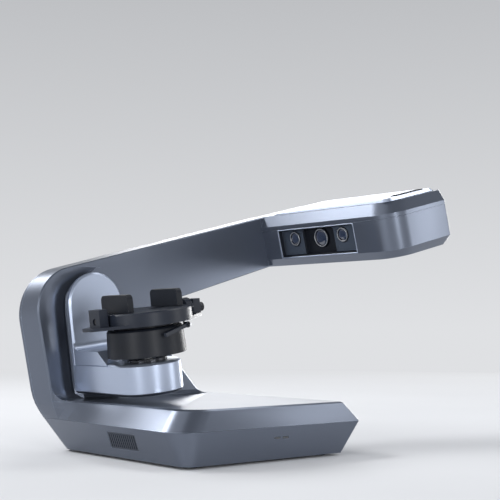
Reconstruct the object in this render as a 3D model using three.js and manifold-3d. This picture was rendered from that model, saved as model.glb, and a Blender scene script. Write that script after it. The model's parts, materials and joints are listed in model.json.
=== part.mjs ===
import * as THREE from "three";
import { mergeVertices } from "three/addons/utils/BufferGeometryUtils.js";
import Module from "manifold-3d";

// Desktop scanner for small models: a low base, a leaning C-shaped frame and a head over a
// swinging turntable arm. Millimetres, Z up, standing on the floor, X to the right of the
// person facing the two status lights, Y to the back.
const wasm = await Module();
wasm.setup();

// Base, measured from the photo
const baseWidth = 236;
const baseDepth = 250;
const bandHeight = 32.1;
const deckHeight = 52.5;
const lowerInsetLeft = 11.6;
const lowerInsetRight = 22.3;
const lowerInsetFront = 4.8;
const lowerInsetBack = 10;
const deckInsetLeft = 15;
const deckInsetRight = 20.5;
const deckInsetFront = 4.4;
const deckEdge = 1.5;
const farCorner = 4;
const bandCorner = 28;
const floorCornerFront = 12;
const floorCornerBack = 30;
const sweepStart = 105;

// C-shaped frame, measured from the photo
const frameThickness = 34.8;
const frontBevel = 1.2;
const backChamfer = 2.2;
const sideDraft = 6.1;
const columnFootOut = 13.6;
const columnFootHeight = 50;
const columnFootRadius = 60;
const columnCornerOut = 40.2;
const columnCornerHeight = 181.6;
const columnCornerRadius = 52;
const innerCornerX = 103.4;
const innerCornerHeight = 148;
const innerCornerRadius = 36;
const innerFootX = 189.5;
const innerFootRadius = 30;

// Scanning head, measured from the photo
const headTilt = 14;
const headCornerX = 293.7;
const headCornerHeight = 213.2;
const headLength = 96.6;
const headFaceHeight = 40.6;
const headSeamHeight = 36;
const headTopRise = 12.6;
const headTopInset = 7.7;
const headTopInsetFar = 2.5;
const headTopInsetFront = 4;
const headUnderDrop = 10;
const headUnderInset = 8.6;
const headUnderInsetFar = 5;
const headNearCorner = 28;
const headBackCorner = 15;
const headCoverRise = 3.2;

// Swinging arm and turntable, measured from the photo
const armLean = 7.6;
const pivotX = 40.9;
const pivotHeight = 155.9;
const turntableReach = 94.5;
const armHalfWidth = 33.6;
const armBottomDrop = 93.4;
const armBlockHeight = 32.2;
const armStepRise = 13.7;
const armStepDepth = 45.1;
const armStepSlope = 15.9;
const armStepFillet = 8;
const uprightThickness = 6;
const uprightClearance = 0.8;
const drumRadius = 40.8;
const drumTopRadius = 39.4;
const drumHeight = 28.6;
const drumGap = 6.9;
const drumClearance = 1.4;

// Walls, clearances, overruns and counts
const wall = 3;
const gap = 0.3;
const runningGap = 0.4;
const coverThickness = 5.7;
const bite = 1;
const overcut = 4;
const weldReach = 0.0001;
const half = 0.5;
const cornerSteps = 7;
const fineSides = 40;
const roundSides = 28;
const smallSides = 16;
const tinySides = 10;

const { lerp: mix, clamp, degToRad: rad } = THREE.MathUtils;
const bandTop = bandHeight - half * gap;
const bandStart = bandHeight + half * gap;
const columnFront = baseDepth - frameThickness;
const columnInner = columnFront + wall;
const coverFront = baseDepth - coverThickness;
const shellBack = coverFront - gap;
const turntableY = columnFront - turntableReach;

// Closed solids from plain geometry
function solid(geometry) {
  const bare = new THREE.BufferGeometry();
  bare.setAttribute("position", geometry.getAttribute("position"));
  if (geometry.index) bare.setIndex(geometry.index);
  const merged = mergeVertices(bare, weldReach);
  return new wasm.Manifold(
    new wasm.Mesh({
      numProp: 3,
      vertProperties: Float32Array.from(merged.getAttribute("position").array),
      triVerts: Uint32Array.from(merged.index.array),
    }),
  );
}

const join = (...pieces) => pieces.reduce((a, b) => a.add(b));
const cut = (body, ...tools) => tools.reduce((a, b) => a.subtract(b), body);
const common = (a, b) => a.intersect(b);

function box(x0, x1, y0, y1, z0, z1) {
  const g = new THREE.BoxGeometry(x1 - x0, y1 - y0, z1 - z0);
  return solid(g.translate(half * (x0 + x1), half * (y0 + y1), half * (z0 + z1)));
}

// Box of a given width and depth about a place in plan
const block = (x, y, width, depth, z0, z1) =>
  box(x - half * width, x + half * width, y - half * depth, y + half * depth, z0, z1);

// Round bar about a line along X, Y or Z through the two given cross coordinates
function bar(axis, r0, r1, from, to, a, b, sides = roundSides) {
  const g = new THREE.CylinderGeometry(r1, r0, to - from, sides);
  const mid = half * (from + to);
  if (axis === "x") g.rotateZ(-half * Math.PI).translate(mid, a, b);
  if (axis === "y") g.translate(a, mid, b);
  if (axis === "z") g.rotateX(half * Math.PI).translate(a, b, mid);
  return solid(g);
}

const tube = (axis, outer, inner, from, to, a, b, sides = roundSides) =>
  cut(
    bar(axis, outer, outer, from, to, a, b, sides),
    bar(axis, inner, inner, from - overcut, to + overcut, a, b, sides),
  );

// Outline in X and Z pushed along Y, with an even chamfer at both ends when asked for
function slab(points, y0, y1, chamfer = 0) {
  const shape = new THREE.Shape(points.map(([x, z]) => new THREE.Vector2(x, z)));
  const g = new THREE.ExtrudeGeometry(shape, {
    depth: y1 - y0 - 2 * chamfer,
    bevelEnabled: chamfer > 0,
    bevelThickness: chamfer,
    bevelSize: chamfer,
    bevelOffset: -chamfer,
    bevelSegments: 1,
    steps: 1,
  });
  return solid(g.rotateX(half * Math.PI).translate(0, y1 - chamfer, 0));
}

// Outline in X and Y pushed up along Z
function plate(points, z0, z1) {
  const shape = new THREE.Shape(points.map(([x, y]) => new THREE.Vector2(x, y)));
  const g = new THREE.ExtrudeGeometry(shape, { depth: z1 - z0, bevelEnabled: false, steps: 1 });
  return solid(g.translate(0, 0, z0));
}

// Outline in Y and Z pushed along X
function profile(points, x0, x1) {
  const shape = new THREE.Shape(points.map(([y, z]) => new THREE.Vector2(y, z)));
  const g = new THREE.ExtrudeGeometry(shape, { depth: x1 - x0, bevelEnabled: false, steps: 1 });
  return solid(g.rotateX(half * Math.PI).rotateZ(half * Math.PI).translate(x0, 0, 0));
}

// Polygon whose corners carry a rounding radius and the number of steps round it
function rounded(corners) {
  return corners.flatMap(([x, z, radius, steps = cornerSteps], i) => {
    if (!radius) return [[x, z]];
    const [px, pz] = corners[(i + corners.length - 1) % corners.length];
    const [nx, nz] = corners[(i + 1) % corners.length];
    const here = new THREE.Vector2(x, z);
    const back = new THREE.Vector2(px, pz).sub(here).normalize();
    const ahead = new THREE.Vector2(nx, nz).sub(here).normalize();
    const open = Math.acos(clamp(back.dot(ahead), -1, 1));
    const reach = radius / Math.tan(half * open);
    const middle = back.clone().add(ahead).normalize();
    const centre = here.clone().addScaledVector(middle, radius / Math.sin(half * open));
    const start = here.clone().addScaledVector(back, reach).sub(centre);
    const turn = -Math.sign(back.cross(ahead)) * (Math.PI - open);
    return Array.from({ length: steps + 1 }, (_, k) => {
      const p = start.clone().rotateAround(new THREE.Vector2(), (turn * k) / steps);
      return [centre.x + p.x, centre.y + p.y];
    });
  });
}

// Outline moved inward by an even distance, corners kept sharp
function inset(points, distance) {
  const area = THREE.ShapeUtils.area(points.map(([x, y]) => new THREE.Vector2(x, y)));
  const side = area > 0 ? 1 : -1;
  return points.map(([x, y], i) => {
    const [px, py] = points[(i + points.length - 1) % points.length];
    const [nx, ny] = points[(i + 1) % points.length];
    const a = new THREE.Vector2(x - px, y - py).normalize();
    const b = new THREE.Vector2(nx - x, ny - y).normalize();
    const na = new THREE.Vector2(-a.y, a.x);
    const nb = new THREE.Vector2(-b.y, b.x);
    const mean = na.clone().add(nb).normalize();
    const reach = (side * distance) / Math.max(mean.dot(na), half);
    return [x + mean.x * reach, y + mean.y * reach];
  });
}

// Arc about a centre, from an angle over a turn, both in degrees
const arc = (cx, cy, r, from, turn, steps = cornerSteps) =>
  Array.from({ length: steps + 1 }, (_, k) => {
    const a = rad(from + (turn * k) / steps);
    return [cx + r * Math.cos(a), cy + r * Math.sin(a)];
  });

// Four roundings, in the order right back, left back, left front, right front
const drawn = (radii, draw) => radii.map((r) => Math.max(r - draw, half * farCorner));

// Rectangle with its four corners rounded, from the right back corner round to the left
const oblong = (x0, x1, y0, y1, [rb, lb, lf, rf]) => [
  ...arc(x1 - rb, y1 - rb, rb, 0, 90),
  ...arc(x0 + lb, y1 - lb, lb, 90, 90),
  ...arc(x0 + lf, y0 + lf, lf, 180, 90),
  ...arc(x1 - rf, y0 + rf, rf, 270, 90),
];
const evenCorners = (r) => [r, r, r, r];

// Skin through sections of equal count, given as 3-D points, closed by the faces given
function skin(sections, faces) {
  const count = sections[0].length;
  const index = [];
  sections.slice(1).forEach((section, i) => {
    for (let j = 0; j < count; j += 1) {
      const a = i * count + j;
      const b = i * count + ((j + 1) % count);
      index.push(b, a, a + count, b, a + count, b + count);
    }
  });
  const last = (sections.length - 1) * count;
  faces.forEach(([a, b, c]) => index.push(a, b, c, last + a, last + c, last + b));
  const g = new THREE.BufferGeometry();
  g.setAttribute("position", new THREE.Float32BufferAttribute(sections.flat(2), 3));
  g.setIndex(index);
  return solid(g);
}

const facesOf = (points) =>
  THREE.ShapeUtils.triangulateShape(points.map(([a, b]) => new THREE.Vector2(a, b)), []);

// Skin through level rings that go round to the left, from the lowest up
const loft = (rings) =>
  skin(
    rings.map(({ z, points }) => points.map(([x, y]) => [x, y, z])).reverse(),
    facesOf(rings[rings.length - 1].points),
  );

// Skin along Y through upright outlines that go round to the left, seen from the front
const skinAlongY = (sections) =>
  skin(
    sections.map(({ y, points }) => points.map(([x, z]) => [x, y, z])),
    facesOf(sections[0].points),
  );

// Finishes
const finish = (colour, roughness, metalness) =>
  new THREE.MeshStandardMaterial({ color: colour, roughness, metalness });
const finishes = {
  shell: () => finish(0x4a5360, 0.36, 0.55),
  band: () => finish(0x2b313a, 0.4, 0.5),
  silver: () => finish(0x76828f, 0.32, 0.6),
  black: () => finish(0x15171a, 0.6, 0.05),
  tray: () => finish(0x23272c, 0.5, 0.1),
  rubber: () => finish(0x101010, 0.9, 0),
  steel: () => finish(0x9aa0a6, 0.35, 0.9),
  aluminium: () => finish(0xb4b9be, 0.4, 0.85),
  board: () => finish(0x1d5a38, 0.6, 0),
  brass: () => finish(0xb08d4a, 0.35, 0.9),
  glass: () => finish(0x0b1a2e, 0.06, 0),
  light: () => finish(0xdfe8f2, 0.3, 0),
};

const scanner = new THREE.Group();
scanner.name = "desktop_model_scanner";

// Spaces of the tilted head and of the leaning arm: their own X is along the piece
const spaces = {
  base: (g) => g,
  head: (g) => g.rotateY(-rad(headTilt)).translate(headCornerX, 0, headCornerHeight),
  arm: (g) => g.rotateY(-rad(armLean)).translate(pivotX, 0, pivotHeight),
};

function geometryOf(body) {
  const mesh = body.getMesh();
  const g = new THREE.BufferGeometry();
  g.setAttribute("position", new THREE.BufferAttribute(Float32Array.from(mesh.vertProperties), 3));
  g.setIndex(new THREE.BufferAttribute(Uint32Array.from(mesh.triVerts), 1));
  return g;
}

const moved = (body, space) => solid(spaces[space](geometryOf(body)));

function piece(name, body, colour, space = "base") {
  const g = spaces[space](geometryOf(body));
  g.computeVertexNormals();
  const mesh = new THREE.Mesh(g, finishes[colour]());
  mesh.name = name;
  scanner.add(mesh);
  return mesh;
}

// Ring of the lower band at a height, drawn in by a wall
const bandCorners = [farCorner, farCorner, bandCorner, farCorner];
const floorCorners = [farCorner, floorCornerBack, floorCornerFront, farCorner];
function bandRing(z, draw = 0) {
  const drop = 1 - z / bandHeight;
  const radii = bandCorners.map((r, i) => mix(r, floorCorners[i], drop));
  const points = oblong(
    lowerInsetLeft * drop + draw,
    baseWidth - lowerInsetRight * drop - draw,
    lowerInsetFront * drop + draw,
    baseDepth - lowerInsetBack * drop - draw,
    drawn(radii, draw),
  );
  return { z, points };
}

// Lower band of the base with its floor
const ventCentreY = 100.8;
const ventWidth = 49;
const ventHeight = 17.5;
const ventThickness = 2;
const ventCentreHeight = 17.5;
const slatCount = 13;
const slatSlot = 1.7;
const slatMargin = 1.2;
const bandLean = Math.atan(lowerInsetLeft / bandHeight);
const ventX = lowerInsetLeft * (1 - ventCentreHeight / bandHeight);
const toBand = (body) =>
  solid(geometryOf(body).rotateY(-bandLean).translate(ventX, ventCentreY, ventCentreHeight));
const ventBox = (x0, x1, draw) =>
  box(
    x0,
    x1,
    draw - half * ventWidth,
    half * ventWidth - draw,
    draw - half * ventHeight,
    half * ventHeight - draw,
  );
const lightWidth = 7.2;
const lightHeight = 1.7;
const lightDepth = 5;
const lightCentreHeight = 21;
const lightStart = 117.8;
const lightPitch = 10.9;
const lightXs = [lightStart, lightStart + lightPitch];
const lightFace = lowerInsetFront * (1 - lightCentreHeight / bandHeight);
const lightBox = (x, grow, from) =>
  box(
    x - grow,
    x + lightWidth + grow,
    from,
    lightFace + lightDepth + grow,
    lightCentreHeight - half * lightHeight - grow,
    lightCentreHeight + half * lightHeight + grow,
  );
const floorTop = wall;
piece(
  "base_lower_shell",
  cut(
    loft([bandRing(0), bandRing(bandTop)]),
    loft([bandRing(floorTop, wall), bandRing(bandHeight + overcut, wall)]),
    toBand(ventBox(-overcut, 2 * overcut, 0)),
    ...lightXs.map((x) => lightBox(x, gap, -overcut)),
  ),
  "band",
);

// Slatted air inlet in the left side
const slatSpan = ventWidth - 2 * slatMargin;
const slots = Array.from({ length: slatCount }, (_, i) => {
  const y = -half * slatSpan + (slatSpan * (i + half)) / slatCount;
  const reach = half * ventHeight - slatMargin;
  return box(-overcut, 2 * overcut, y - half * slatSlot, y + half * slatSlot, -reach, reach);
});
piece("vent_grille", toBand(cut(ventBox(gap, gap + ventThickness, gap), ...slots)), "band");

lightXs.forEach((x, i) => {
  piece(["status_light_left", "status_light_right"][i], lightBox(x, 0, lightFace + gap), "light");
});

// C-shaped frame: its outline runs from the base up the column and along the arm, whose top
// and underside meet the edges of the head; the left side leans in toward the front
const headTop = headFaceHeight + headTopRise;
const headPoint = (u, w) => [
  headCornerX + u * Math.cos(rad(headTilt)) - w * Math.sin(rad(headTilt)),
  headCornerHeight + u * Math.sin(rad(headTilt)) + w * Math.cos(rad(headTilt)),
];
const [armTopX, armTopHeight] = headPoint(0, headTop);
const [armUnderX, armUnderHeight] = headPoint(0, bite - headUnderDrop);
const topRise = (armTopHeight - columnCornerHeight) / (armTopX + columnCornerOut);
const underRise = (armUnderHeight - innerCornerHeight) / (armUnderX - innerCornerX);
const armReach = headCornerX + 2 * headBackCorner;
const frameFootRight = baseWidth - deckInsetRight - 2 * farCorner;
const armTopZ = (x) => columnCornerHeight + topRise * (x + columnCornerOut);
const armUnderZ = (x) => innerCornerHeight + underRise * (x - innerCornerX);
const footSteps = 3;
const cornerFineSteps = 14;
const frameSection = (draw) =>
  rounded([
    [0, bandStart, 0],
    [draw - columnFootOut, columnFootHeight, columnFootRadius, footSteps],
    [
      draw - columnCornerOut,
      armTopZ(draw - columnCornerOut),
      columnCornerRadius - draw,
      cornerFineSteps,
    ],
    [armReach, armTopZ(armReach), 0],
    [armReach, armUnderZ(armReach), 0],
    [innerCornerX, innerCornerHeight, innerCornerRadius],
    [innerFootX, deckHeight, innerFootRadius],
    [frameFootRight, deckHeight, 0],
    [frameFootRight, bandStart, 0],
  ]).reverse();
const frontSection = frameSection(sideDraft);
const backSection = frameSection(0);
const frameSectionAt = (y, draw = 0) => {
  const share = (y - columnFront) / frameThickness;
  const points = frontSection.map(([x, z], i) => [
    mix(x, backSection[i][0], share),
    mix(z, backSection[i][1], share),
  ]);
  return { y, points: draw ? inset(points, draw) : points };
};
const frameBody = skinAlongY([
  frameSectionAt(columnFront, frontBevel),
  frameSectionAt(columnFront + frontBevel),
  frameSectionAt(baseDepth - backChamfer),
  frameSectionAt(baseDepth, backChamfer),
]);

// Left side of the deck and of the column's foot: drawn in along the deck, and swept out to
// the front edge of the column
const sweepEnd = columnFront + frontBevel;
const footBack = columnInner + half * wall;
const sweepSteps = 7;
const leftAt = (points, z) =>
  Math.min(
    ...points.flatMap(([x0, z0], i) => {
      const [x1, z1] = points[(i + 1) % points.length];
      return (z0 - z) * (z1 - z) <= 0 && z0 !== z1 ? [mix(x0, x1, (z - z0) / (z1 - z0))] : [];
    }),
  );
const columnX = (z) => leftAt(frontSection, Math.max(z, bandStart));
const sideX = (y, z) => {
  const riseShare = clamp((z - bandHeight) / (deckHeight - bandHeight), 0, 1);
  const sweepShare = clamp((y - sweepStart) / (sweepEnd - sweepStart), 0, 1) ** 2;
  return mix(deckInsetLeft * riseShare, columnX(z), sweepShare);
};

// Ring of the deck band at a height, drawn in by a wall
function deckRing(z, draw = 0) {
  const rise = (z - bandHeight) / (deckHeight - bandHeight);
  const left = deckInsetLeft * clamp(rise, 0, 1) + draw;
  const right = baseWidth - deckInsetRight * rise - draw;
  const front = deckInsetFront * rise + draw;
  const back = baseDepth - draw;
  const [rb, , lf, rf] = drawn(bandCorners, draw);
  const innerX = columnX(z) + draw + wall;
  const side = Array.from({ length: sweepSteps + 1 }, (_, k) => {
    const y = mix(sweepEnd, sweepStart, k / sweepSteps);
    return [sideX(y, z) + draw, y];
  });
  const points = [
    ...arc(right - rb, back - rb, rb, 0, 90),
    [innerX, back],
    [innerX, footBack],
    [columnX(z) + draw, footBack],
    ...side,
    ...arc(left + lf, front + lf, lf, 180, 90),
    ...arc(right - rf, front + rf, rf, 270, 90),
  ];
  return { z, points };
}
const deckBends = frontSection
  .map(([, z]) => z)
  .filter((z) => z > bandStart && z < deckHeight - deckEdge)
  .sort((a, b) => a - b);
const deckBody = loft([
  ...[bandStart, ...deckBends, deckHeight - deckEdge].map((z) => deckRing(z)),
  deckRing(deckHeight, deckEdge),
]);

// Hollow curve between the deck and the front of the column: wide at the left edge, and
// tighter where the swing arm passes over it
const coveWide = 16;
const coveTight = 6;
const coveFade = 28;
const coveSteps = 6;
const coveSideShares = [0, 0.35, 0.7];
const coveY = (r, rise) => {
  if (rise >= r) return sweepEnd;
  return columnFront - r + Math.sqrt(Math.max(0, r ** 2 - (r - Math.max(rise, 0)) ** 2));
};
const coveRadius = (x) => {
  const share = Math.sqrt(clamp(x / coveFade, 0, 1));
  return mix(coveWide, coveTight, share * (2 - share));
};
const coveRing = (z) => {
  const rise = z - deckHeight;
  const leftY = coveY(coveWide, rise);
  const leftX = sideX(leftY, z);
  const frontEdge = Array.from({ length: coveSteps + 1 }, (_, k) => {
    const x = mix(leftX, coveFade, k / coveSteps);
    return [x, coveY(coveRadius(x), rise)];
  });
  const side = coveSideShares.map((share) => {
    const y = mix(footBack, leftY, share);
    return [sideX(y, z), y];
  });
  const far = [innerFootX, coveY(coveTight, rise)];
  return { z, points: [...frontEdge, far, [innerFootX, footBack], ...side] };
};
const coveRises = Array.from(
  { length: coveSteps + 1 },
  (_, k) => coveWide * (1 - Math.cos((half * Math.PI * k) / coveSteps)),
);
const cove = common(
  loft([deckHeight - deckEdge, ...coveRises.map((rise) => deckHeight + rise)].map(coveRing)),
  slab(inset(frontSection, frontBevel), columnFront - 2 * coveWide, footBack),
);

const beyond = 2 * headLength;
const sideOfHead = (u0, u1) =>
  moved(box(u0, u1, -overcut, baseDepth + overcut, -beyond, beyond), "head");
const armSection = common(frameBody, sideOfHead(half * gap, headBackCorner + half * gap));
const frameOuter = cut(join(frameBody, deckBody, cove), sideOfHead(-half * gap, beyond));

// Scoop in the front of the column, deepest along the left side of the swing arm
const scoopDepth = 10;
const scoopLand = 2.4;
const scoopUnder = 9;
const scoopLip = 3;
const scoopLow = deckHeight + bite;
const scoopHigh = pivotHeight + armHalfWidth + 2 * scoopLip;
const scoopBendShare = 1.7;
const scoopHeightShares = [0, 0.03, 0.07, 0.12, 0.68, 0.78, 0.86, 0.93, 1];
const scoopDepthShares = [0.3, 0.65, 0.9, 1, 1, 0.9, 0.66, 0.32, 0.03];
const armLeftX = (z) => {
  const drop = pivotHeight - z;
  const reach = armHalfWidth / Math.cos(rad(armLean));
  if (drop > 0) return pivotX - reach + drop * Math.tan(rad(armLean));
  return pivotX - Math.sqrt(Math.max(0, reach ** 2 - drop ** 2));
};
const scoopRing = (z, depth, grow) => {
  const from = columnX(z) + scoopLand - grow;
  const deepest = armLeftX(z) + bite;
  const slope = Array.from({ length: sweepSteps + 1 }, (_, k) => {
    const share = 1 - k / sweepSteps;
    return [mix(from, deepest, share), columnFront + grow + depth * share ** scoopBendShare];
  });
  const points = [
    [from, columnFront - overcut],
    [deepest + scoopUnder + grow, columnFront - overcut],
    [deepest + scoopUnder + grow, columnFront + grow],
    [deepest + scoopLip + grow, columnFront + grow + depth],
    ...slope,
  ];
  return { z, points };
};
const scoop = (grow) =>
  loft(
    scoopHeightShares.map((share, i) =>
      scoopRing(
        mix(scoopLow - grow, scoopHigh + grow, share),
        scoopDepth * scoopDepthShares[i],
        grow,
      ),
    ),
  );

const frameHollow = cut(
  join(
    skinAlongY([frameSectionAt(columnInner, wall), frameSectionAt(baseDepth + overcut, wall)]),
    loft([deckRing(bandHeight - overcut, wall), deckRing(deckHeight - wall, wall)]),
  ),
  scoop(wall),
);
const wide = 3 * baseWidth;
const aheadOfCover = box(-beyond, wide, -overcut, shellBack, -overcut, wide);
const behindCover = box(-beyond, wide, coverFront, baseDepth + overcut, -overcut, wide);

// Screw posts of the rear cover, running from the front wall of the frame to the cover
const postRadius = 4.6;
const screwRadius = 1.6;
const screwHeadRadius = 3.4;
const screwHeadDepth = 2.4;
const screwLength = 16;
const driveRadius = 1.4;
const driveDepth = 1.5;
const driveSides = 6;
const footPostInset = 30;
const sidePostInset = 22;
const slopePostInset = 9;
const footPostShare = 0.1;
const slopePostShare = 0.33;
const armPostShares = [0.48, 0.6];
const postHeight = (share) => mix(deckHeight, innerCornerHeight, share);
const armPostX = mix(innerCornerX, armUnderX, armPostShares[0]);
const posts = [
  [leftAt(backSection, postHeight(footPostShare)) + footPostInset, postHeight(footPostShare)],
  [leftAt(backSection, innerCornerHeight) + sidePostInset, innerCornerHeight],
  [mix(innerFootX, innerCornerX, slopePostShare) - slopePostInset, postHeight(slopePostShare)],
  [armPostX, mix(armUnderZ(armPostX), armTopZ(armPostX), armPostShares[1])],
];
const atPosts = (radius, from, to) =>
  posts.map(([x, z]) => bar("y", radius, radius, from, to, x, z, smallSides));
const postHoles = atPosts(screwRadius + gap, shellBack - screwLength, baseDepth + overcut);
const headHoles = atPosts(
  screwHeadRadius + gap,
  baseDepth - screwHeadDepth - gap,
  baseDepth + overcut,
);

// Beam that carries the head, and the openings it passes through
const beamFront = columnInner + gap;
const beamBack = coverFront - wall - gap;
const beamHeight = 20;
const beamMiddle = half * (headTop - headUnderDrop);
const beamLow = beamMiddle - half * beamHeight;
const beamHigh = beamMiddle + half * beamHeight;
const beamStart = -78;
const beamEnd = 52;
const beamTube = 3;
const beamClearance = 1.5;
const beamPassage = box(
  -overcut - wall,
  overcut + wall,
  beamFront - gap - half * wall,
  beamBack + beamClearance,
  beamLow - beamClearance,
  beamHigh + beamClearance,
);

// Swing bearing seat in the front wall
const bearingTubeRadius = 13;
const bearingFlangeRadius = 15;
const bearingFlange = 3;
const bearingRadius = 10.5;
const shaftRadius = 6;
const bearingWidth = 5;
const atPivot = (radius, from, to) => bar("y", radius, radius, from, to, pivotX, pivotHeight);
piece(
  "frame_shell",
  cut(
    join(
      cut(common(frameOuter, aheadOfCover), frameHollow),
      ...atPosts(postRadius, columnInner - half * wall, shellBack),
    ),
    scoop(0),
    ...postHoles,
    atPivot(bearingTubeRadius + gap, columnFront - overcut, columnInner + overcut),
    moved(beamPassage, "head"),
  ),
  "shell",
);

// Rear cover with the connector openings
const portRise = 13.5;
const portHeight = deckHeight + portRise;
const usbX = 58;
const usbWidth = 12;
const usbTall = 10.8;
const jackX = 92;
const jackRadius = 5.6;
const buttonX = 124;
const buttonRadius = 6;
const buttonProud = 1;
const buttonTravel = 1.2;
const boardThickness = 1.6;
const portDepth = 11;
const portRecess = 0.5;
const portBoardFront = baseDepth - portRecess - portDepth - gap - boardThickness;
const portBoardBack = portBoardFront + boardThickness;
const portSocketBack = portBoardBack + gap;
const portBoardEdge = 8;
const portBoardHalf = 10;
const portPostInset = 4;
const portPostRadius = 3;
const portBoardLeft = usbX - half * usbWidth - portBoardEdge;
const portBoardRight = buttonX + buttonRadius + portBoardEdge;
const portPosts = [portBoardLeft + portPostInset, portBoardRight - portPostInset].flatMap((x) =>
  [portPostInset - portBoardHalf, portBoardHalf - portPostInset].map((rise) => [
    x,
    portHeight + rise,
  ]),
);
const usbBox = (grow, from, to) =>
  box(
    usbX - half * usbWidth - grow,
    usbX + half * usbWidth + grow,
    from,
    to,
    portHeight - half * usbTall - grow,
    portHeight + half * usbTall + grow,
  );
const atJack = (radius, from, to, sides) =>
  bar("y", radius, radius, from, to, jackX, portHeight, sides);
const atButton = (radius, from, to, sides) =>
  bar("y", radius, radius, from, to, buttonX, portHeight, sides);
piece(
  "rear_cover",
  cut(
    join(
      common(frameOuter, behindCover),
      ...portPosts.map(([x, z]) =>
        bar(
          "y",
          portPostRadius,
          portPostRadius,
          portBoardBack + gap,
          coverFront + bite,
          x,
          z,
          smallSides,
        ),
      ),
    ),
    ...postHoles,
    ...headHoles,
    usbBox(gap, coverFront - overcut, baseDepth + overcut),
    atJack(jackRadius + gap, coverFront - overcut, baseDepth + overcut),
    atButton(buttonRadius + runningGap, coverFront - overcut, baseDepth + overcut),
  ),
  "shell",
);
posts.forEach(([x, z], i) => {
  const at = (radius, from, to, sides) => bar("y", radius, radius, from, to, x, z, sides);
  const headFront = baseDepth - screwHeadDepth;
  const headBack = baseDepth - gap;
  const shank = at(screwRadius, shellBack - screwLength + bite, headFront + bite, smallSides);
  const head = at(screwHeadRadius, headFront, headBack, smallSides);
  const drive = at(driveRadius, headBack - driveDepth, baseDepth + overcut, driveSides);
  piece(`cover_screw_${i + 1}`, cut(join(shank, head), drive), "steel");
});

// Connector board with its socket, jack and power switch
piece(
  "connector_board",
  box(
    portBoardLeft,
    portBoardRight,
    portBoardFront,
    portBoardBack,
    portHeight - portBoardHalf,
    portHeight + portBoardHalf,
  ),
  "board",
);
const socketWall = 1.2;
const tongueWidth = 5.6;
const tongueTall = 3.6;
const tongueRecess = 3;
const portFace = baseDepth - portRecess;
piece(
  "usb_socket",
  join(
    cut(
      usbBox(0, portSocketBack, portFace),
      usbBox(-socketWall, portSocketBack + socketWall, baseDepth + overcut),
    ),
    box(
      usbX - half * tongueWidth,
      usbX + half * tongueWidth,
      portSocketBack + half * socketWall,
      portFace - tongueRecess,
      portHeight - half * tongueTall,
      portHeight + half * tongueTall,
    ),
  ),
  "steel",
);
const jackBore = 3.2;
const jackPin = 1;
const jackFloor = 3;
piece(
  "power_jack",
  join(
    cut(
      atJack(jackRadius, portSocketBack, portFace),
      atJack(jackBore, portSocketBack + jackFloor, baseDepth + overcut, smallSides),
    ),
    atJack(jackPin, portSocketBack + half * jackFloor, portFace - half * jackFloor, smallSides),
  ),
  "black",
);
const switchDepth = 3.6;
const stemRadius = 2;
const stemWell = 2.6;
const stemReach = 1;
const switchBack = portSocketBack + switchDepth;
piece(
  "power_switch",
  cut(
    box(
      buttonX - buttonRadius,
      buttonX + buttonRadius,
      portSocketBack,
      switchBack,
      portHeight - buttonRadius,
      portHeight + buttonRadius,
    ),
    atButton(stemRadius + runningGap, switchBack - stemWell, baseDepth, smallSides),
  ),
  "black",
);
piece(
  "power_button",
  join(
    atButton(buttonRadius, switchBack + buttonTravel + stemReach, baseDepth + buttonProud),
    atButton(stemRadius, switchBack - stemReach, baseDepth - buttonProud, smallSides),
  ),
  "silver",
);

// Feet, ballast and boards inside the base
const footHeight = 2.5;
const footRadius = 8;
const footInset = 18;
const footTaper = 1;
const footXs = [lowerInsetLeft + footInset, baseWidth - lowerInsetRight - footInset];
const footYs = [lowerInsetFront + footInset, baseDepth - lowerInsetBack - footInset];
footYs.forEach((y, j) =>
  footXs.forEach((x, i) =>
    piece(
      `foot_${["front", "back"][j]}_${["left", "right"][i]}`,
      bar("z", footRadius - footTaper, footRadius, -footHeight, -gap, x, y),
      "rubber",
    ),
  ),
);
const ballastThickness = 8;
const ballastSideInset = 36;
const ballastFrontInset = 16;
const ballastBackInset = 46;
const ballastRight = baseWidth - ballastSideInset;
const ballastBack = baseDepth - ballastBackInset;
const ballastTop = floorTop + gap + ballastThickness;
const standoffHeight = 5;
const standoffRadius = 3;
const standoffSides = 8;
const boardAcrossShares = [0.09, 0.7];
const mainBoardShares = [0.08, 0.54];
const powerBoardShares = [0.59, 0.93];
const boardOn = ([frontShare, backShare]) => ({
  x0: mix(ballastSideInset, ballastRight, boardAcrossShares[0]),
  x1: mix(ballastSideInset, ballastRight, boardAcrossShares[1]),
  y0: mix(ballastFrontInset, ballastBack, frontShare),
  y1: mix(ballastFrontInset, ballastBack, backShare),
});
const mainBoard = boardOn(mainBoardShares);
const powerBoard = boardOn(powerBoardShares);
const boardSpots = ({ x0, x1, y0, y1 }) =>
  [x0 + standoffRadius, x1 - standoffRadius].flatMap((x) =>
    [y0 + standoffRadius, y1 - standoffRadius].map((y) => [x, y]),
  );
const standoffs = [mainBoard, powerBoard].flatMap(boardSpots).map(([x, y]) =>
  bar(
    "z",
    standoffRadius,
    standoffRadius,
    ballastTop - bite,
    ballastTop + standoffHeight,
    x,
    y,
    standoffSides,
  ),
);
piece(
  "ballast_plate",
  join(
    box(
      ballastSideInset,
      ballastRight,
      ballastFrontInset,
      ballastBack,
      floorTop + gap,
      ballastTop,
    ),
    ...standoffs,
  ),
  "steel",
);
const boardLow = ballastTop + standoffHeight + gap;
const boardTop = boardLow + boardThickness;
const boardBody = ({ x0, x1, y0, y1 }, low, top) => box(x0, x1, y0, y1, low, top);
const onBoard = ({ x0, x1, y0, y1 }, [acrossShare, alongShare]) => [
  mix(x0, x1, acrossShare),
  mix(y0, y1, alongShare),
];
const component = (board, shares, [width, depth, tall], top) =>
  block(...onBoard(board, shares), width, depth, top - half * boardThickness, top + tall);
const processorShares = [0.26, 0.34];
const memoryShares = [0.23, 0.67];
const plugShares = [0.75, 0.24];
const coilShares = [0.22, 0.45];
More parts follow.
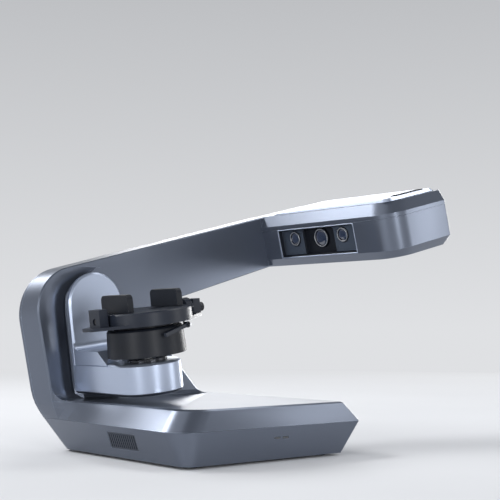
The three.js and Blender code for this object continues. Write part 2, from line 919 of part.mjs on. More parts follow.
const capacitorShares = [
  [0.58, 0.34],
  [0.78, 0.34],
];
const processorSize = [20, 20, 3];
const memorySize = [14, 14, 2];
const plugSize = [30, 10, 6];
const coilSize = [24, 30, 16];
const capacitorRadius = 7;
const capacitorTall = 18;
piece(
  "main_board",
  join(
    boardBody(mainBoard, boardLow, boardTop),
    component(mainBoard, processorShares, processorSize, boardTop),
    component(mainBoard, memoryShares, memorySize, boardTop),
    component(mainBoard, plugShares, plugSize, boardTop),
  ),
  "board",
);
piece(
  "power_board",
  join(
    boardBody(powerBoard, boardLow, boardTop),
    component(powerBoard, coilShares, coilSize, boardTop),
    ...capacitorShares.map((shares) =>
      bar(
        "z",
        capacitorRadius,
        capacitorRadius,
        boardTop - half * boardThickness,
        boardTop + capacitorTall,
        ...onBoard(powerBoard, shares),
        smallSides,
      ),
    ),
  ),
  "board",
);

// Fan behind the air inlet
const fanSize = 36;
const fanDepth = 10;
const fanX = 18;
const fanHeight = floorTop + gap + half * fanSize;
const fanBore = 16.4;
const hubRadius = 6.5;
const bladeCount = 7;
const bladeThickness = 1.2;
const bladeTwist = 35;
const strutRadius = 1.4;
const fanPin = 1.2;
const pinFront = 4;
const pinRoom = 1;
const tipClearance = 1;
const fanBack = fanX + fanDepth;
const fanBar = (radius, from, to, sides) =>
  bar("x", radius, radius, from, to, ventCentreY, fanHeight, sides);
const struts = [45, 135].map((angle) => {
  const g = new THREE.BoxGeometry(2 * strutRadius, 2 * strutRadius, 2 * fanBore + bite);
  return solid(g.rotateX(rad(angle)).translate(fanBack - strutRadius, ventCentreY, fanHeight));
});
piece(
  "fan_frame",
  join(
    cut(
      box(
        fanX,
        fanBack,
        ventCentreY - half * fanSize,
        ventCentreY + half * fanSize,
        fanHeight - half * fanSize,
        fanHeight + half * fanSize,
      ),
      fanBar(fanBore, fanX - overcut, fanBack + overcut),
    ),
    ...struts,
    fanBar(hubRadius, fanBack - 2 * strutRadius, fanBack, smallSides),
    fanBar(fanPin, fanX + pinFront, fanBack - strutRadius, tinySides),
  ),
  "black",
);
const rotorFront = fanX + tipClearance;
const rotorDepth = fanDepth - 2 * strutRadius - 2 * runningGap - tipClearance;
const rotorBack = rotorFront + rotorDepth;
const bladeReach = fanBore - tipClearance - hubRadius;
const bladeWidth = rotorDepth * Math.cos(rad(bladeTwist));
const blades = Array.from({ length: bladeCount }, (_, i) => {
  const g = new THREE.BoxGeometry(bladeWidth, bladeThickness, bladeReach + bite);
  g.rotateZ(rad(bladeTwist)).translate(0, 0, hubRadius + half * (bladeReach - bite));
  g.rotateX((2 * Math.PI * i) / bladeCount);
  return solid(g.translate(half * (rotorFront + rotorBack), ventCentreY, fanHeight));
});
piece(
  "fan_rotor",
  cut(
    join(fanBar(hubRadius, rotorFront, rotorBack, smallSides), ...blades),
    fanBar(fanPin + runningGap, fanX + pinFront - pinRoom, fanBack, tinySides),
  ),
  "black",
);

// Swing drive in the column: bearings, shaft, gear and motor
const housingDepth = 18.8;
const bearingSetback = 2;
const housingLip = 1;
const housingBack = columnFront + housingDepth;
const bearingYs = [columnFront + bearingSetback, housingBack - bearingWidth - housingLip];
piece(
  "swing_bearing_housing",
  cut(
    join(
      atPivot(bearingTubeRadius, columnFront + gap, housingBack),
      atPivot(bearingFlangeRadius, columnInner + gap, columnInner + gap + bearingFlange),
    ),
    atPivot(bearingRadius + gap, columnFront - overcut, housingBack + overcut),
  ),
  "aluminium",
);
bearingYs.forEach((y, i) =>
  piece(
    ["swing_bearing_front", "swing_bearing_rear"][i],
    tube("y", bearingRadius, shaftRadius + gap, y, y + bearingWidth, pivotX, pivotHeight),
    "steel",
  ),
);
const shaftFlangeRadius = 15;
const shaftFlange = 3.4;
const uprightBack = columnFront - uprightClearance;
const uprightFront = uprightBack - uprightThickness;
const gearWidth = 5;
const gearClearance = 1;
const gearFront = housingBack + gearClearance;
const gearBack = gearFront + gearWidth;
const keyFlat = 1.6;
const flatted = (radius, from, to) =>
  cut(
    atPivot(radius, from, to),
    box(
      pivotX + radius - keyFlat,
      pivotX + 2 * radius,
      from - overcut,
      to + overcut,
      pivotHeight - 2 * radius,
      pivotHeight + 2 * radius,
    ),
  );
piece(
  "swing_shaft",
  join(
    atPivot(shaftFlangeRadius, uprightBack - shaftFlange, uprightBack),
    atPivot(shaftRadius, uprightBack - bite, gearFront - gearClearance),
    flatted(shaftRadius, gearFront - gearClearance - bite, gearBack + gearClearance),
  ),
  "steel",
);

// Spur gears with plain trapezoid teeth and room for backlash
const toothModule = 1.25;
const gearTeeth = 36;
const pinionTeeth = 12;
const addendumShare = 0.72;
const dedendumShare = 1.05;
const toothTipShare = 0.1;
const toothRootShare = 0.27;
function gearOutline(teeth, x, z, turn) {
  const pitch = half * toothModule * teeth;
  const step = (2 * Math.PI) / teeth;
  const tip = pitch + addendumShare * toothModule;
  const root = pitch - dedendumShare * toothModule;
  return Array.from({ length: teeth }, (_, i) => i).flatMap((i) =>
    [
      [root, -toothRootShare],
      [tip, -toothTipShare],
      [tip, toothTipShare],
      [root, toothRootShare],
    ].map(([r, share]) => {
      const a = turn + (i + share) * step;
      return [x + r * Math.cos(a), z + r * Math.sin(a)];
    }),
  );
}
const centreDistance = half * toothModule * (gearTeeth + pinionTeeth);
const motorAngle = rad(-65);
const motorX = pivotX + centreDistance * Math.cos(motorAngle);
const motorZ = pivotHeight + centreDistance * Math.sin(motorAngle);
const atMotor = (radius, from, to, sides) => bar("y", radius, radius, from, to, motorX, motorZ, sides);
piece(
  "swing_gear",
  cut(
    slab(gearOutline(gearTeeth, pivotX, pivotHeight, motorAngle), gearFront, gearBack),
    flatted(shaftRadius + gap, gearFront - overcut, gearBack + overcut),
  ),
  "brass",
);
const motorRadius = 13.5;
const motorClearance = 2;
const motorWell = 7;
const motorBack = gearFront - motorClearance;
const motorShaftRadius = 2.5;
piece(
  "swing_motor",
  cut(
    atMotor(motorRadius, columnInner + gap, motorBack),
    atMotor(motorShaftRadius + runningGap, motorBack - motorWell, motorBack + overcut, smallSides),
  ),
  "black",
);
piece(
  "swing_pinion",
  join(
    slab(
      gearOutline(pinionTeeth, motorX, motorZ, motorAngle + Math.PI + Math.PI / pinionTeeth),
      gearFront,
      gearBack,
    ),
    atMotor(motorShaftRadius, motorBack - motorWell + bite, gearFront + bite, smallSides),
  ),
  "steel",
);

// Leaning arm in its own space: X across, Z up along the lean, pivot at zero
const armBottom = -armBottomDrop;
const blockTop = armBottom + armBlockHeight;
const stepTop = blockTop + armStepRise;
const stepFront = uprightFront - armStepDepth;
const armWall = 3;
const armCover = 2.3;
const armShellBottom = armBottom + armCover + gap;
const edgeSoft = 2;
const archSteps = 14;
const atTable = (radius, from, to, sides) =>
  bar("z", radius, radius, from, to, 0, turntableY, sides);
const blockRing = (z, draw, back) => {
  const r = armHalfWidth - draw;
  return { z, points: [...arc(0, turntableY, r, 180, 180, archSteps), [r, back], [-r, back]] };
};
const arch = [
  ...arc(0, 0, armHalfWidth, 0, 180, archSteps),
  [-armHalfWidth, armShellBottom],
  [armHalfWidth, armShellBottom],
];
const uprightBody = join(
  slab(arch, uprightFront + edgeSoft, uprightBack),
  common(
    slab(arch, uprightFront, uprightBack, edgeSoft),
    box(-beyond, beyond, uprightFront - bite, uprightFront + 2 * edgeSoft, armShellBottom, beyond),
  ),
);
const blockBody = loft([
  blockRing(armShellBottom, 0, uprightBack),
  blockRing(blockTop - edgeSoft, 0, uprightBack),
  blockRing(blockTop, edgeSoft, uprightBack),
]);
const stepBody = profile(
  [
    [uprightFront + bite, blockTop - bite],
    [uprightFront + bite, stepTop + armStepFillet],
    ...arc(uprightFront - armStepFillet, stepTop + armStepFillet, armStepFillet, 0, -90),
    [stepFront, stepTop],
    [stepFront - armStepSlope, blockTop],
    [stepFront - armStepSlope, blockTop - bite],
  ],
  -armHalfWidth,
  armHalfWidth,
);
const motorHollow = loft([
  blockRing(armBottom - overcut, armWall, uprightFront),
  blockRing(blockTop - armWall, armWall, uprightFront),
]);
const stepHollow = box(
  armWall - armHalfWidth,
  armHalfWidth - armWall,
  stepFront + armWall,
  uprightFront,
  blockTop - armWall - bite,
  stepTop - armWall,
);
const tableBoreRadius = 14;
const flangePocket = bar(
  "y",
  shaftFlangeRadius + gap,
  shaftFlangeRadius + gap,
  uprightBack - shaftFlange - gap,
  uprightBack + overcut,
  0,
  0,
);
piece(
  "swing_arm",
  cut(
    join(uprightBody, blockBody, stepBody),
    motorHollow,
    stepHollow,
    flangePocket,
    atTable(tableBoreRadius + gap, blockTop - 2 * overcut, blockTop + overcut),
    atTable(drumRadius + drumClearance, blockTop, beyond, fineSides),
  ),
  "silver",
  "arm",
);
piece(
  "swing_arm_cover",
  loft([blockRing(armBottom, edgeSoft, uprightBack), blockRing(armBottom + armCover, 0, uprightBack)]),
  "silver",
  "arm",
);

// Turntable drive: motor in the arm, flanged bearing, spindle and drum
const tableMotorRadius = 21;
const tableMotorDrop = 6;
const tableMotorWell = 9;
const tableMotorTop = blockTop - armWall - tableMotorDrop;
const spindleRadius = 5;
const spindleSeat = 1;
const tableFlangeRadius = 20;
const tableFlange = 2.6;
const tableTubeDrop = 4;
piece(
  "turntable_motor",
  cut(
    atTable(tableMotorRadius, armBottom + armCover + gap, tableMotorTop),
    atTable(spindleRadius + runningGap, tableMotorTop - tableMotorWell, blockTop, smallSides),
  ),
  "black",
  "arm",
);
piece(
  "turntable_bearing",
  cut(
    join(
      atTable(tableBoreRadius, blockTop - armWall - tableTubeDrop, blockTop + gap + bite),
      atTable(tableFlangeRadius, blockTop + gap, blockTop + gap + tableFlange),
    ),
    atTable(spindleRadius + runningGap, armBottom, -armBottom, smallSides),
  ),
  "steel",
  "arm",
);
const drumBottom = blockTop + drumGap;
const drumTop = drumBottom + drumHeight;
const drumWall = 3;
const drumRoof = 4;
const hubTubeRadius = 9;
const hubTubeLift = 2;
const drumBar = (r0, r1, from, to) => bar("z", r0, r1, from, to, 0, turntableY, fineSides);
piece(
  "turntable_spindle",
  atTable(
    spindleRadius,
    tableMotorTop - tableMotorWell + spindleSeat,
    drumTop - spindleSeat,
    smallSides,
  ),
  "steel",
  "arm",
);
piece(
  "turntable_drum",
  cut(
    join(
      cut(
        join(
          drumBar(drumRadius, drumTopRadius, drumBottom, drumTop - edgeSoft),
          drumBar(drumTopRadius, drumTopRadius - edgeSoft, drumTop - edgeSoft, drumTop),
        ),
        drumBar(
          drumRadius - drumWall,
          drumTopRadius - drumWall,
          drumBottom - overcut,
          drumTop - drumRoof,
        ),
      ),
      atTable(hubTubeRadius, drumBottom + hubTubeLift, drumTop - half * drumRoof),
    ),
    atTable(spindleRadius + gap, drumBottom - overcut, drumTop - spindleSeat + gap, smallSides),
  ),
  "black",
  "arm",
);

// Clamp tray: a thin flange with pointed ends, a raised floor, and a block at each end
// that holds the clamp screw
const trayNeckRadius = 30;
const trayNeck = 3;
const trayFlange = 3;
const trayRadius = 50;
const trayTip = 69;
const tipHalf = 9;
const tipRounding = 5;
const shoulderShare = 0.72;
const raisedHeight = 11;
const raisedHalf = 46;
const raisedEdge = 1.2;
const trayLow = drumTop + gap + trayNeck;
const trayHigh = trayLow + trayFlange;
const floorHigh = trayHigh + raisedHeight;
const jawInner = 27;
const jawThickness = 7;
const jawWidth = 48;
const jawHeight = 18.6;
const jawCorner = 5;
const screwLine = trayHigh + half * raisedHeight;
const clampScrewRadius = 3;
const leftLugInner = 49;
const leftLugLength = 10;
const leftLugWidth = 19;
const leftLugTall = 17.6;
const rightLugLength = 9;
const rightLugWidth = 14;
const rightLugTall = 15;
const leftLugOuter = leftLugInner + leftLugLength;
const rightLugInner = trayTip - rightLugLength;
const wheelRadius = 12;
const wheelFrom = 49;
const wheelTo = 57;
const wheelRoom = 1;
const slotWidth = 10.8;
const slotFrom = 11;
const keelWidth = 10;
const keelOverlap = 2;
const shoulderX = shoulderShare * raisedHalf;
const shoulderY = shoulderShare * trayRadius;
const tipPlate = plate(
  rounded([
    [-trayTip, turntableY - tipHalf, tipRounding],
    [-shoulderX, turntableY - shoulderY, 0],
    [shoulderX, turntableY - shoulderY, 0],
    [trayTip, turntableY - tipHalf, tipRounding],
    [trayTip, turntableY + tipHalf, tipRounding],
    [shoulderX, turntableY + shoulderY, 0],
    [-shoulderX, turntableY + shoulderY, 0],
    [-trayTip, turntableY + tipHalf, tipRounding],
  ]),
  trayLow,
  trayHigh,
);
const trayBar = (r0, r1, from, to) => bar("z", r0, r1, from, to, 0, turntableY, fineSides);
const raisedFloor = common(
  join(
    trayBar(trayRadius, trayRadius, trayHigh - bite, floorHigh - raisedEdge),
    trayBar(trayRadius, trayRadius - raisedEdge, floorHigh - raisedEdge, floorHigh),
  ),
  box(-raisedHalf, raisedHalf, 0, baseDepth, -beyond, beyond),
);
const acrossTable = (x0, x1, width, z0, z1) =>
  box(x0, x1, turntableY - half * width, turntableY + half * width, z0, z1);
const lugBodies = [
  acrossTable(-leftLugOuter, -leftLugInner, leftLugWidth, trayHigh - bite, trayHigh + leftLugTall),
  acrossTable(rightLugInner, trayTip, rightLugWidth, trayHigh - bite, trayHigh + rightLugTall),
];
const jawSlots = [
  acrossTable(-raisedHalf - bite, -slotFrom, slotWidth, trayHigh, floorHigh + overcut),
  acrossTable(slotFrom, raisedHalf + bite, slotWidth, trayHigh, floorHigh + overcut),
];
const wheelChord = Math.sqrt(wheelRadius ** 2 - (screwLine - trayHigh) ** 2) + wheelRoom;
const wheelSlot = acrossTable(
  wheelFrom - wheelRoom,
  wheelTo + wheelRoom,
  2 * wheelChord,
  trayLow - overcut,
  trayHigh + overcut,
);
const atScrew = (radius, from, to) =>
  bar("x", radius, radius, from, to, turntableY, screwLine, smallSides);
const screwHole = atScrew(clampScrewRadius + runningGap, -2 * trayTip, 2 * trayTip);
piece(
  "clamp_tray",
  cut(
    join(
      atTable(trayNeckRadius, drumTop + gap, trayLow + bite),
      trayBar(trayRadius, trayRadius, trayLow, trayHigh),
      tipPlate,
      raisedFloor,
      ...lugBodies,
    ),
    ...jawSlots,
    wheelSlot,
    screwHole,
  ),
  "tray",
  "arm",
);
const collarRadius = 5;
const collarGap = 1;
const endCollar = 6;
const innerCollar = 1.6;
piece(
  "clamp_screw",
  join(
    atScrew(clampScrewRadius, bite - leftLugOuter, trayTip + collarGap + endCollar),
    atScrew(collarRadius, trayTip + collarGap, trayTip + collarGap + endCollar),
    atScrew(collarRadius, runningGap - leftLugInner, runningGap + innerCollar - leftLugInner),
  ),
  "steel",
  "arm",
);
const wheelTeeth = 24;
const wheelToothDepth = 0.9;
const wheelOutline = Array.from({ length: 2 * wheelTeeth }, (_, k) => {
  const a = (Math.PI * k) / wheelTeeth;
  const r = k % 2 ? wheelRadius : wheelRadius - wheelToothDepth;
  return [turntableY + r * Math.cos(a), screwLine + r * Math.sin(a)];
});
piece(
  "thumb_wheel",
  cut(
    profile(wheelOutline, wheelFrom, wheelTo),
    atScrew(clampScrewRadius + gap, wheelFrom - overcut, wheelTo + overcut),
  ),
  "black",
  "arm",
);
const jawLow = floorHigh + runningGap;
const jawHigh = floorHigh + jawHeight;
const jawFace = rounded([
  [turntableY - half * jawWidth, jawLow, 0],
  [turntableY + half * jawWidth, jawLow, 0],
  [turntableY + half * jawWidth, jawHigh, jawCorner],
  [turntableY - half * jawWidth, jawHigh, jawCorner],
]);
const jaw = (from) =>
  cut(
    join(
      profile(jawFace, from, from + jawThickness),
      acrossTable(
        from,
        from + jawThickness,
        keelWidth,
        trayHigh + runningGap,
        floorHigh + keelOverlap,
      ),
    ),
    screwHole,
  );
piece("jaw_left", jaw(-jawInner - jawThickness), "tray", "arm");
piece("jaw_right", jaw(jawInner), "tray", "arm");

// Release lever: a slim bar below the tray, hung on a pin at its right end
const leverPinX = 25.6;
const leverPinReach = 39.4;
const leverLength = 35;
const leverTall = 4;
const leverWidth = 3;
const leverEyeRadius = 3.2;
const leverRise = 10.5;
const leverTurn = 11.2;
const leverDrop = 4.6;
const leverLine = trayLow - leverDrop;
const hangerWidth = 2.4;
const hangerSpan = 3.8;
const hangerTall = 5.4;
const pinRadius = 1.4;
const pinLength = 9.4;
const toLever = (g) =>
  solid(g.rotateZ(rad(leverTurn)).translate(leverPinX, turntableY - leverPinReach, leverLine));
const leverRound = (radius, length) =>
  toLever(new THREE.CylinderGeometry(radius, radius, length, smallSides));
const leverBar = toLever(
  new THREE.BoxGeometry(leverLength, leverWidth, leverTall)
    .translate(-half * leverLength, 0, 0)
    .rotateY(-rad(leverRise)),
);
piece(
  "release_lever",
  cut(join(leverBar, leverRound(leverEyeRadius, leverWidth)), leverRound(pinRadius + gap, leverLength)),
  "silver",
  "arm",
);
piece(
  "lever_pin",
  join(
    leverRound(pinRadius, pinLength),
    toLever(
      new THREE.BoxGeometry(hangerSpan, hangerWidth, hangerTall).translate(
        0,
        half * (leverWidth + hangerWidth) + runningGap,
        leverDrop - gap - half * hangerTall,
      ),
    ),
  ),
  "steel",
  "arm",
);

// Head shells in the head's own space: X along the head, Z up from the camera face edge
const headWall = 2.6;
const headCorners = [farCorner, headBackCorner, headNearCorner, farCorner];
const flush = [0, 0, 0, 0];
const crown = [headTopInset, headTopInsetFar, headTopInsetFront, headTopInset];
const belly = [headUnderInset, headUnderInsetFar, headUnderInset, headUnderInset];
const headRing = (z, [left, right, front, back], draw = 0) => ({
  z,
  points: oblong(
    left + draw,
    headLength - right - draw,
    front + draw,
    baseDepth - back - draw,
    drawn(headCorners, draw),
  ),
});
const below = (z) => box(-beyond, beyond, -overcut, baseDepth + overcut, -beyond, z);
const above = (z) => box(-beyond, beyond, -overcut, baseDepth + overcut, z, beyond);
const armInHead = solid(
  geometryOf(armSection)
    .translate(-headCornerX, 0, -headCornerHeight)
    .rotateY(rad(headTilt)),
);
const headOuter = join(
  loft([
    headRing(-headUnderDrop, belly),
    headRing(0, flush),
    headRing(headFaceHeight, flush),
    headRing(headTop, crown),
  ]),
  common(armInHead, below(headTop)),
);
const headHollow = loft([
  headRing(headWall - headUnderDrop, belly, headWall),
  headRing(0, flush, headWall),
  headRing(headFaceHeight, flush, headWall),
  headRing(headTop - headWall, crown, headWall),
]);
const seamLow = headSeamHeight - half * gap;
const seamHigh = headSeamHeight + half * gap;

// Camera window on the side that looks down at the turntable
const windowWidth = 129.6;
const windowOffset = 2.5;
const cameraInset = 24.4;
const windowCentreY = turntableY + windowOffset;
const windowFrom = windowCentreY - half * windowWidth;
const windowTo = windowCentreY + half * windowWidth;
const windowDepth = 14;
const windowSetback = 1;
const windowOpening = box(
  -overcut,
  windowDepth + windowSetback,
  windowFrom,
  windowTo,
  0,
  headSeamHeight + overcut,
);
piece(
  "head_lower_shell",
  cut(common(headOuter, below(seamLow)), headHollow, windowOpening, beamPassage),
  "shell",
  "head",
);
const headBoardDrop = 5;
const headBoardTop = headTop - headWall - headBoardDrop;
const headBoardShares = [0.23, 0.83, 0.28, 0.7];
const roofOpeningShares = [0.27, 0.77, 0.34, 0.65];
const inHead = ([left, right, front, back]) => ({
  x0: left * headLength,
  x1: right * headLength,
  y0: front * baseDepth,
  y1: back * baseDepth,
});
const headBoard = inHead(headBoardShares);
const roofOpening = inHead(roofOpeningShares);
const headBosses = boardSpots(headBoard).map(([x, y]) =>
  bar(
    "z",
    standoffRadius,
    standoffRadius,
    headBoardTop + gap,
    headTop - half * headWall,
    x,
    y,
    tinySides,
  ),
);
piece(
  "head_upper_shell",
  cut(
    join(cut(common(headOuter, above(seamHigh)), headHollow), ...headBosses),
    boardBody(roofOpening, headTop - 2 * headWall, headTop + overcut),
    beamPassage,
  ),
  "shell",
  "head",
);
const topCoverLeft = 14;
const topCoverFar = 4.6;
const topCoverFront = 13;
const topCoverBack = 61;
const topCoverSlope = 3.5;
const topCoverFarSlope = 1.5;
const topCoverBackSlope = 18;
const topCoverCorner = 8;
const topCoverRing = (z, [left, right, front, back]) => ({
  z,
  points: oblong(
    topCoverLeft - left,
    headLength - topCoverFar + right,
    topCoverFront - front,
    baseDepth - topCoverBack + back,
    evenCorners(topCoverCorner),
  ),
});
const topCoverSpread = [topCoverSlope, topCoverFarSlope, topCoverSlope, topCoverBackSlope];
const slitCount = 10;
const slitWidth = 1.6;
const slitRun = 44;
const slitStart = 37;
const slitFront = 20;
const slitLength = 7;
const slits = Array.from({ length: slitCount }, (_, k) => {
  const x = slitStart + (slitRun * (k + half)) / slitCount;
  return box(
    x - half * slitWidth,
    x + half * slitWidth,
    slitFront,
    slitFront + slitLength,
    headTop,
    headTop + 2 * headCoverRise,
  );
});
piece(
  "head_top_cover",
  cut(
    loft([
      topCoverRing(headTop + gap, topCoverSpread),
      topCoverRing(headTop + gap + headCoverRise, flush),
    ]),
    ...slits,
  ),
  "shell",
  "head",
);

// Window surround with a raised pad for each camera and a deeper middle for the projector
const cameraYs = [windowFrom + cameraInset, windowTo - cameraInset];
const cameraHeight = 22.6;
const projectorHeight = 20.6;
const bezelWall = 2;
const padDepth = 6;
const middleDepth = 11;
const padWidth = 40;
const lensHole = 9.6;
const projectorHole = 12.4;
const bezelTop = seamLow - gap;
const bezelFrom = windowFrom + gap;
const bezelTo = windowTo - gap;
const pocket = (from, to, depth) =>
  box(-overcut, depth, from, to, bezelWall + gap, bezelTop - bezelWall);
const alongHead = (r0, r1, from, to, y, z) => bar("x", r0, r1, from, to, y, z);
const lensHoles = [
  ...cameraYs.map((y) =>
    alongHead(lensHole, lensHole, -overcut, 2 * windowDepth, y, cameraHeight),
  ),
  alongHead(projectorHole, projectorHole, -overcut, 2 * windowDepth, windowCentreY, projectorHeight),
];
piece(
  "window_surround",
  cut(
    box(windowSetback, windowDepth, bezelFrom, bezelTo, gap, bezelTop),
    pocket(bezelFrom + bezelWall, bezelTo - bezelWall, padDepth),
    pocket(bezelFrom + padWidth, bezelTo - padWidth, middleDepth),
    ...lensHoles,
  ),
  "black",
  "head",
);

// Optical bench, cameras and projector
const benchThickness = 3;
const benchInset = 2;
const benchFront = 44;
const benchRightInset = 17;
const benchCorner = 9;
const benchLow = headWall + gap - headUnderDrop;
const benchTop = benchLow + benchThickness;
const benchBack = baseDepth - headUnderInset - headWall - benchInset;
const cameraSize = 28;
const cameraLength = 34;
const cameraLow = cameraHeight - half * cameraSize;
const projectorLow = 4;
const projectorTop = 38;
const projectorLength = 64;
const projectorWidth = 44;
const bodyFrom = windowDepth + gap;
const padInset = 2;
const benchPad = (to, y0, y1, top) =>
  box(
    bodyFrom + padInset,
    to,
    y0 + padInset,
    y1 - padInset,
    benchTop - half * benchThickness,
    top - gap,
  );
const cameraSides = (y) => [y - half * cameraSize, y + half * cameraSize];
const projectorSides = [windowCentreY - half * projectorWidth, windowCentreY + half * projectorWidth];
piece(
  "optical_bench",
  join(
    plate(
      oblong(bodyFrom, headLength - benchRightInset, benchFront, benchBack, evenCorners(benchCorner)),
      benchLow,
      benchTop,
    ),
    ...cameraYs.map((y) => benchPad(bodyFrom + cameraLength, ...cameraSides(y), cameraLow)),
    benchPad(bodyFrom + projectorLength, ...projectorSides, projectorLow),
    benchPad(beamEnd, beamFront, benchBack, beamLow),
  ),
  "aluminium",
  "head",
);
piece(
  "head_beam",
  cut(
    box(beamStart, beamEnd, beamFront, beamBack, beamLow, beamHigh),
    box(
      beamStart - overcut,
      beamEnd + overcut,
      beamFront + beamTube,
      beamBack - beamTube,
      beamLow + beamTube,
      beamHigh - beamTube,
    ),
  ),
  "aluminium",
  "head",
);
const lensRadius = 9;
const lensFront = 4.4;
const lensBowl = 6.6;
const lensBowlDepth = 2.4;
cameraYs.forEach((y, i) => {
  const side = ["front", "back"][i];
  piece(
    `camera_body_${side}`,
    box(bodyFrom, bodyFrom + cameraLength, ...cameraSides(y), cameraLow, cameraLow + cameraSize),
    "black",
    "head",
  );
  piece(
    `camera_lens_${side}`,
    cut(
      alongHead(lensRadius, lensRadius, lensFront, bodyFrom - gap, y, cameraHeight),
      alongHead(
        lensBowl,
        half * lensBowl,
        lensFront - bite,
        lensFront + lensBowlDepth,
        y,
        cameraHeight,
      ),
    ),
    "glass",
    "head",
  );
});
const projectorRadius = 11.6;
const projectorProud = 2;
const projectorBowl = 9;
const projectorBowlDepth = 3;
const projectorFront = middleDepth - projectorProud;
const projectorLens = (r0, r1, from, to) =>
  alongHead(r0, r1, from, to, windowCentreY, projectorHeight);
piece(
  "projector_body",
  box(bodyFrom, bodyFrom + projectorLength, ...projectorSides, projectorLow, projectorTop),
  "black",
  "head",
);
piece(
  "projector_lens",
  cut(
    projectorLens(projectorRadius, projectorRadius, projectorFront, bodyFrom - gap),
    projectorLens(
      projectorBowl,
      half * projectorBowl,
      projectorFront - bite,
      projectorFront + projectorBowlDepth,
    ),
  ),
  "glass",
  "head",
);
const headChipShares = [0.48, 0.3];
const headChipSize = [20, 20, 2];
piece(
  "head_board",
  join(
    boardBody(headBoard, headBoardTop - boardThickness, headBoardTop),
    component(headBoard, headChipShares, headChipSize, headBoardTop),
  ),
  "board",
  "head",
);

// Put the middle of the whole outline over the origin and the feet on the floor
const bounds = new THREE.Box3();
scanner.children.forEach((mesh) => {
  mesh.geometry.computeBoundingBox();
  bounds.union(mesh.geometry.boundingBox);
});
const middle = bounds.getCenter(new THREE.Vector3());
scanner.children.forEach((mesh) => mesh.geometry.translate(-middle.x, -middle.y, footHeight));

export default scanner;
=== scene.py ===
"""A desktop 3D scanner for small models: finishes, fine pieces, floor, light and camera.

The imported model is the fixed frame, in metres, Z up. Each casing is rebuilt from its node's
outline with rounded edges, small parts get their real detail, and every surface its finish.
"""

import json
import math

import bmesh
import bpy
from mathutils import Matrix, Vector


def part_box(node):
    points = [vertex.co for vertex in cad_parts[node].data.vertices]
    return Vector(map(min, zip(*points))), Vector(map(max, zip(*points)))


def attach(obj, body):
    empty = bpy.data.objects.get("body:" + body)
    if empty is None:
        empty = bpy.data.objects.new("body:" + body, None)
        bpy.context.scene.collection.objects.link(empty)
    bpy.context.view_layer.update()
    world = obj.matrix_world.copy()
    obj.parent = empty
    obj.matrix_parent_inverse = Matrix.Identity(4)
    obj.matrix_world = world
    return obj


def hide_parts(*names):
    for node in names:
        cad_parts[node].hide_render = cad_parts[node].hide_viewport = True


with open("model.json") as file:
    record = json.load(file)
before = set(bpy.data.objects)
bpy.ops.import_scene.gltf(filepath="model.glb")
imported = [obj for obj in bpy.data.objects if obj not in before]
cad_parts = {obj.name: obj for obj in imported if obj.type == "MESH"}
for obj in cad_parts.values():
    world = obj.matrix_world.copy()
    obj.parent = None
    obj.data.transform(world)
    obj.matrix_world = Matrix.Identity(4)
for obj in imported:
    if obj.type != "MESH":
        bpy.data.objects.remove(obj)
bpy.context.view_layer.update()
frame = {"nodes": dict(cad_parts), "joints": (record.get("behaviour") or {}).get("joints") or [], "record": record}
nodes = frame["nodes"]
joints = {joint["name"]: joint for joint in frame["joints"]}

MM = 0.001

# The direction across the scanner, and the turn that stands what is made along X upright
ACROSS = Vector((0, 1, 0))
UPRIGHT = Matrix.Rotation(-math.pi / 2, 4, "Y")

# The head's own space: its left lower front corner in metres, and its length, tilted up
HEAD_PLACE = (0.11556, -0.1255, 0.2157)
HEAD_TILT = math.radians(14)
HEAD_AXIS = Vector((math.cos(HEAD_TILT), 0, math.sin(HEAD_TILT)))

# Casings that are rebuilt with rounded edges: finish, rounding in mm, sharpest kept angle
CASINGS = {
    "base_lower_shell": ("shell_paint", 1.0, 16),
    "frame_shell": ("shell_paint", 1.0, 16),
    "rear_cover": ("shell_paint", 0.9, 16),
    "swing_arm": ("silver_paint", 1.1, 20),
    "swing_arm_cover": ("band_paint", 0.5, 20),
    "turntable_drum": ("black_plastic", 0.6, 25),
    "clamp_tray": ("tray_plastic", 0.5, 25),
    "jaw_left": ("black_plastic", 0.6, 25),
    "jaw_right": ("black_plastic", 0.6, 25),
    "thumb_wheel": ("tray_plastic", 0.4, 30),
    "release_lever": ("tray_plastic", 0.5, 25),
    "head_lower_shell": ("shell_paint", 1.0, 16),
    "head_upper_shell": ("shell_paint", 1.0, 16),
    "head_top_cover": ("silver_paint", 0.5, 20),
    "window_surround": ("black_plastic", 0.4, 25),
}

# Nodes that fine pieces stand for, and nodes with another finish than their slot's
LENSES = ("camera_lens_front", "camera_lens_back", "projector_lens")
FEET = ("foot_front_left", "foot_front_right", "foot_back_left", "foot_back_right")
DETAILED = (*LENSES, *FEET, "clamp_screw")
OWN_FINISH = {"turntable_bearing": "dark_steel"}

# Rebuilding: how near points are one, how flat faces are one, and the steps of a rounding
WELD = 0.002 * MM
FLAT_ANGLE = math.radians(0.4)
CASING_STEPS = 3
FINE_STEPS = 2
FINE_ROUNDING = 0.15
FINE_ANGLE = 30

# Lenses in millimetres: the barrel's rim, chamfer and step down to the seat of the glass
LENS_SIDES = 64
LENS_RIM = 1.7
LENS_CHAMFER = 0.4
LENS_STEP = 0.6
LENS_SEAT = 1
LENS_ROUNDING = 0.12

# Retaining ring and glass in millimetres, and the glass's bulge as a share of the radius
RING_WIDTH = 0.9
RING_HALF = 0.3
GLASS_THICKNESS = 0.9
GLASS_GAP = 0.1
GLASS_BULGE = 0.1
GLASS_STEPS = 12
GLASS_ROUNDING = 0.02

# Camera pads in millimetres, about the lens: their sides are shifted from the projector,
# and a point within the margin of a side is on it
PAD_SETBACK = 0.9
PAD_THICKNESS = 0.6
PAD_WIDTH = 36.4
PAD_SHIFT = 4.2
PAD_HEIGHTS = (-19.4, 9.9)
PAD_HOLE = 9.5
PAD_HOLE_SIDES = 48
PAD_MARGIN = 0.01
PAD_ROUNDING = 0.2

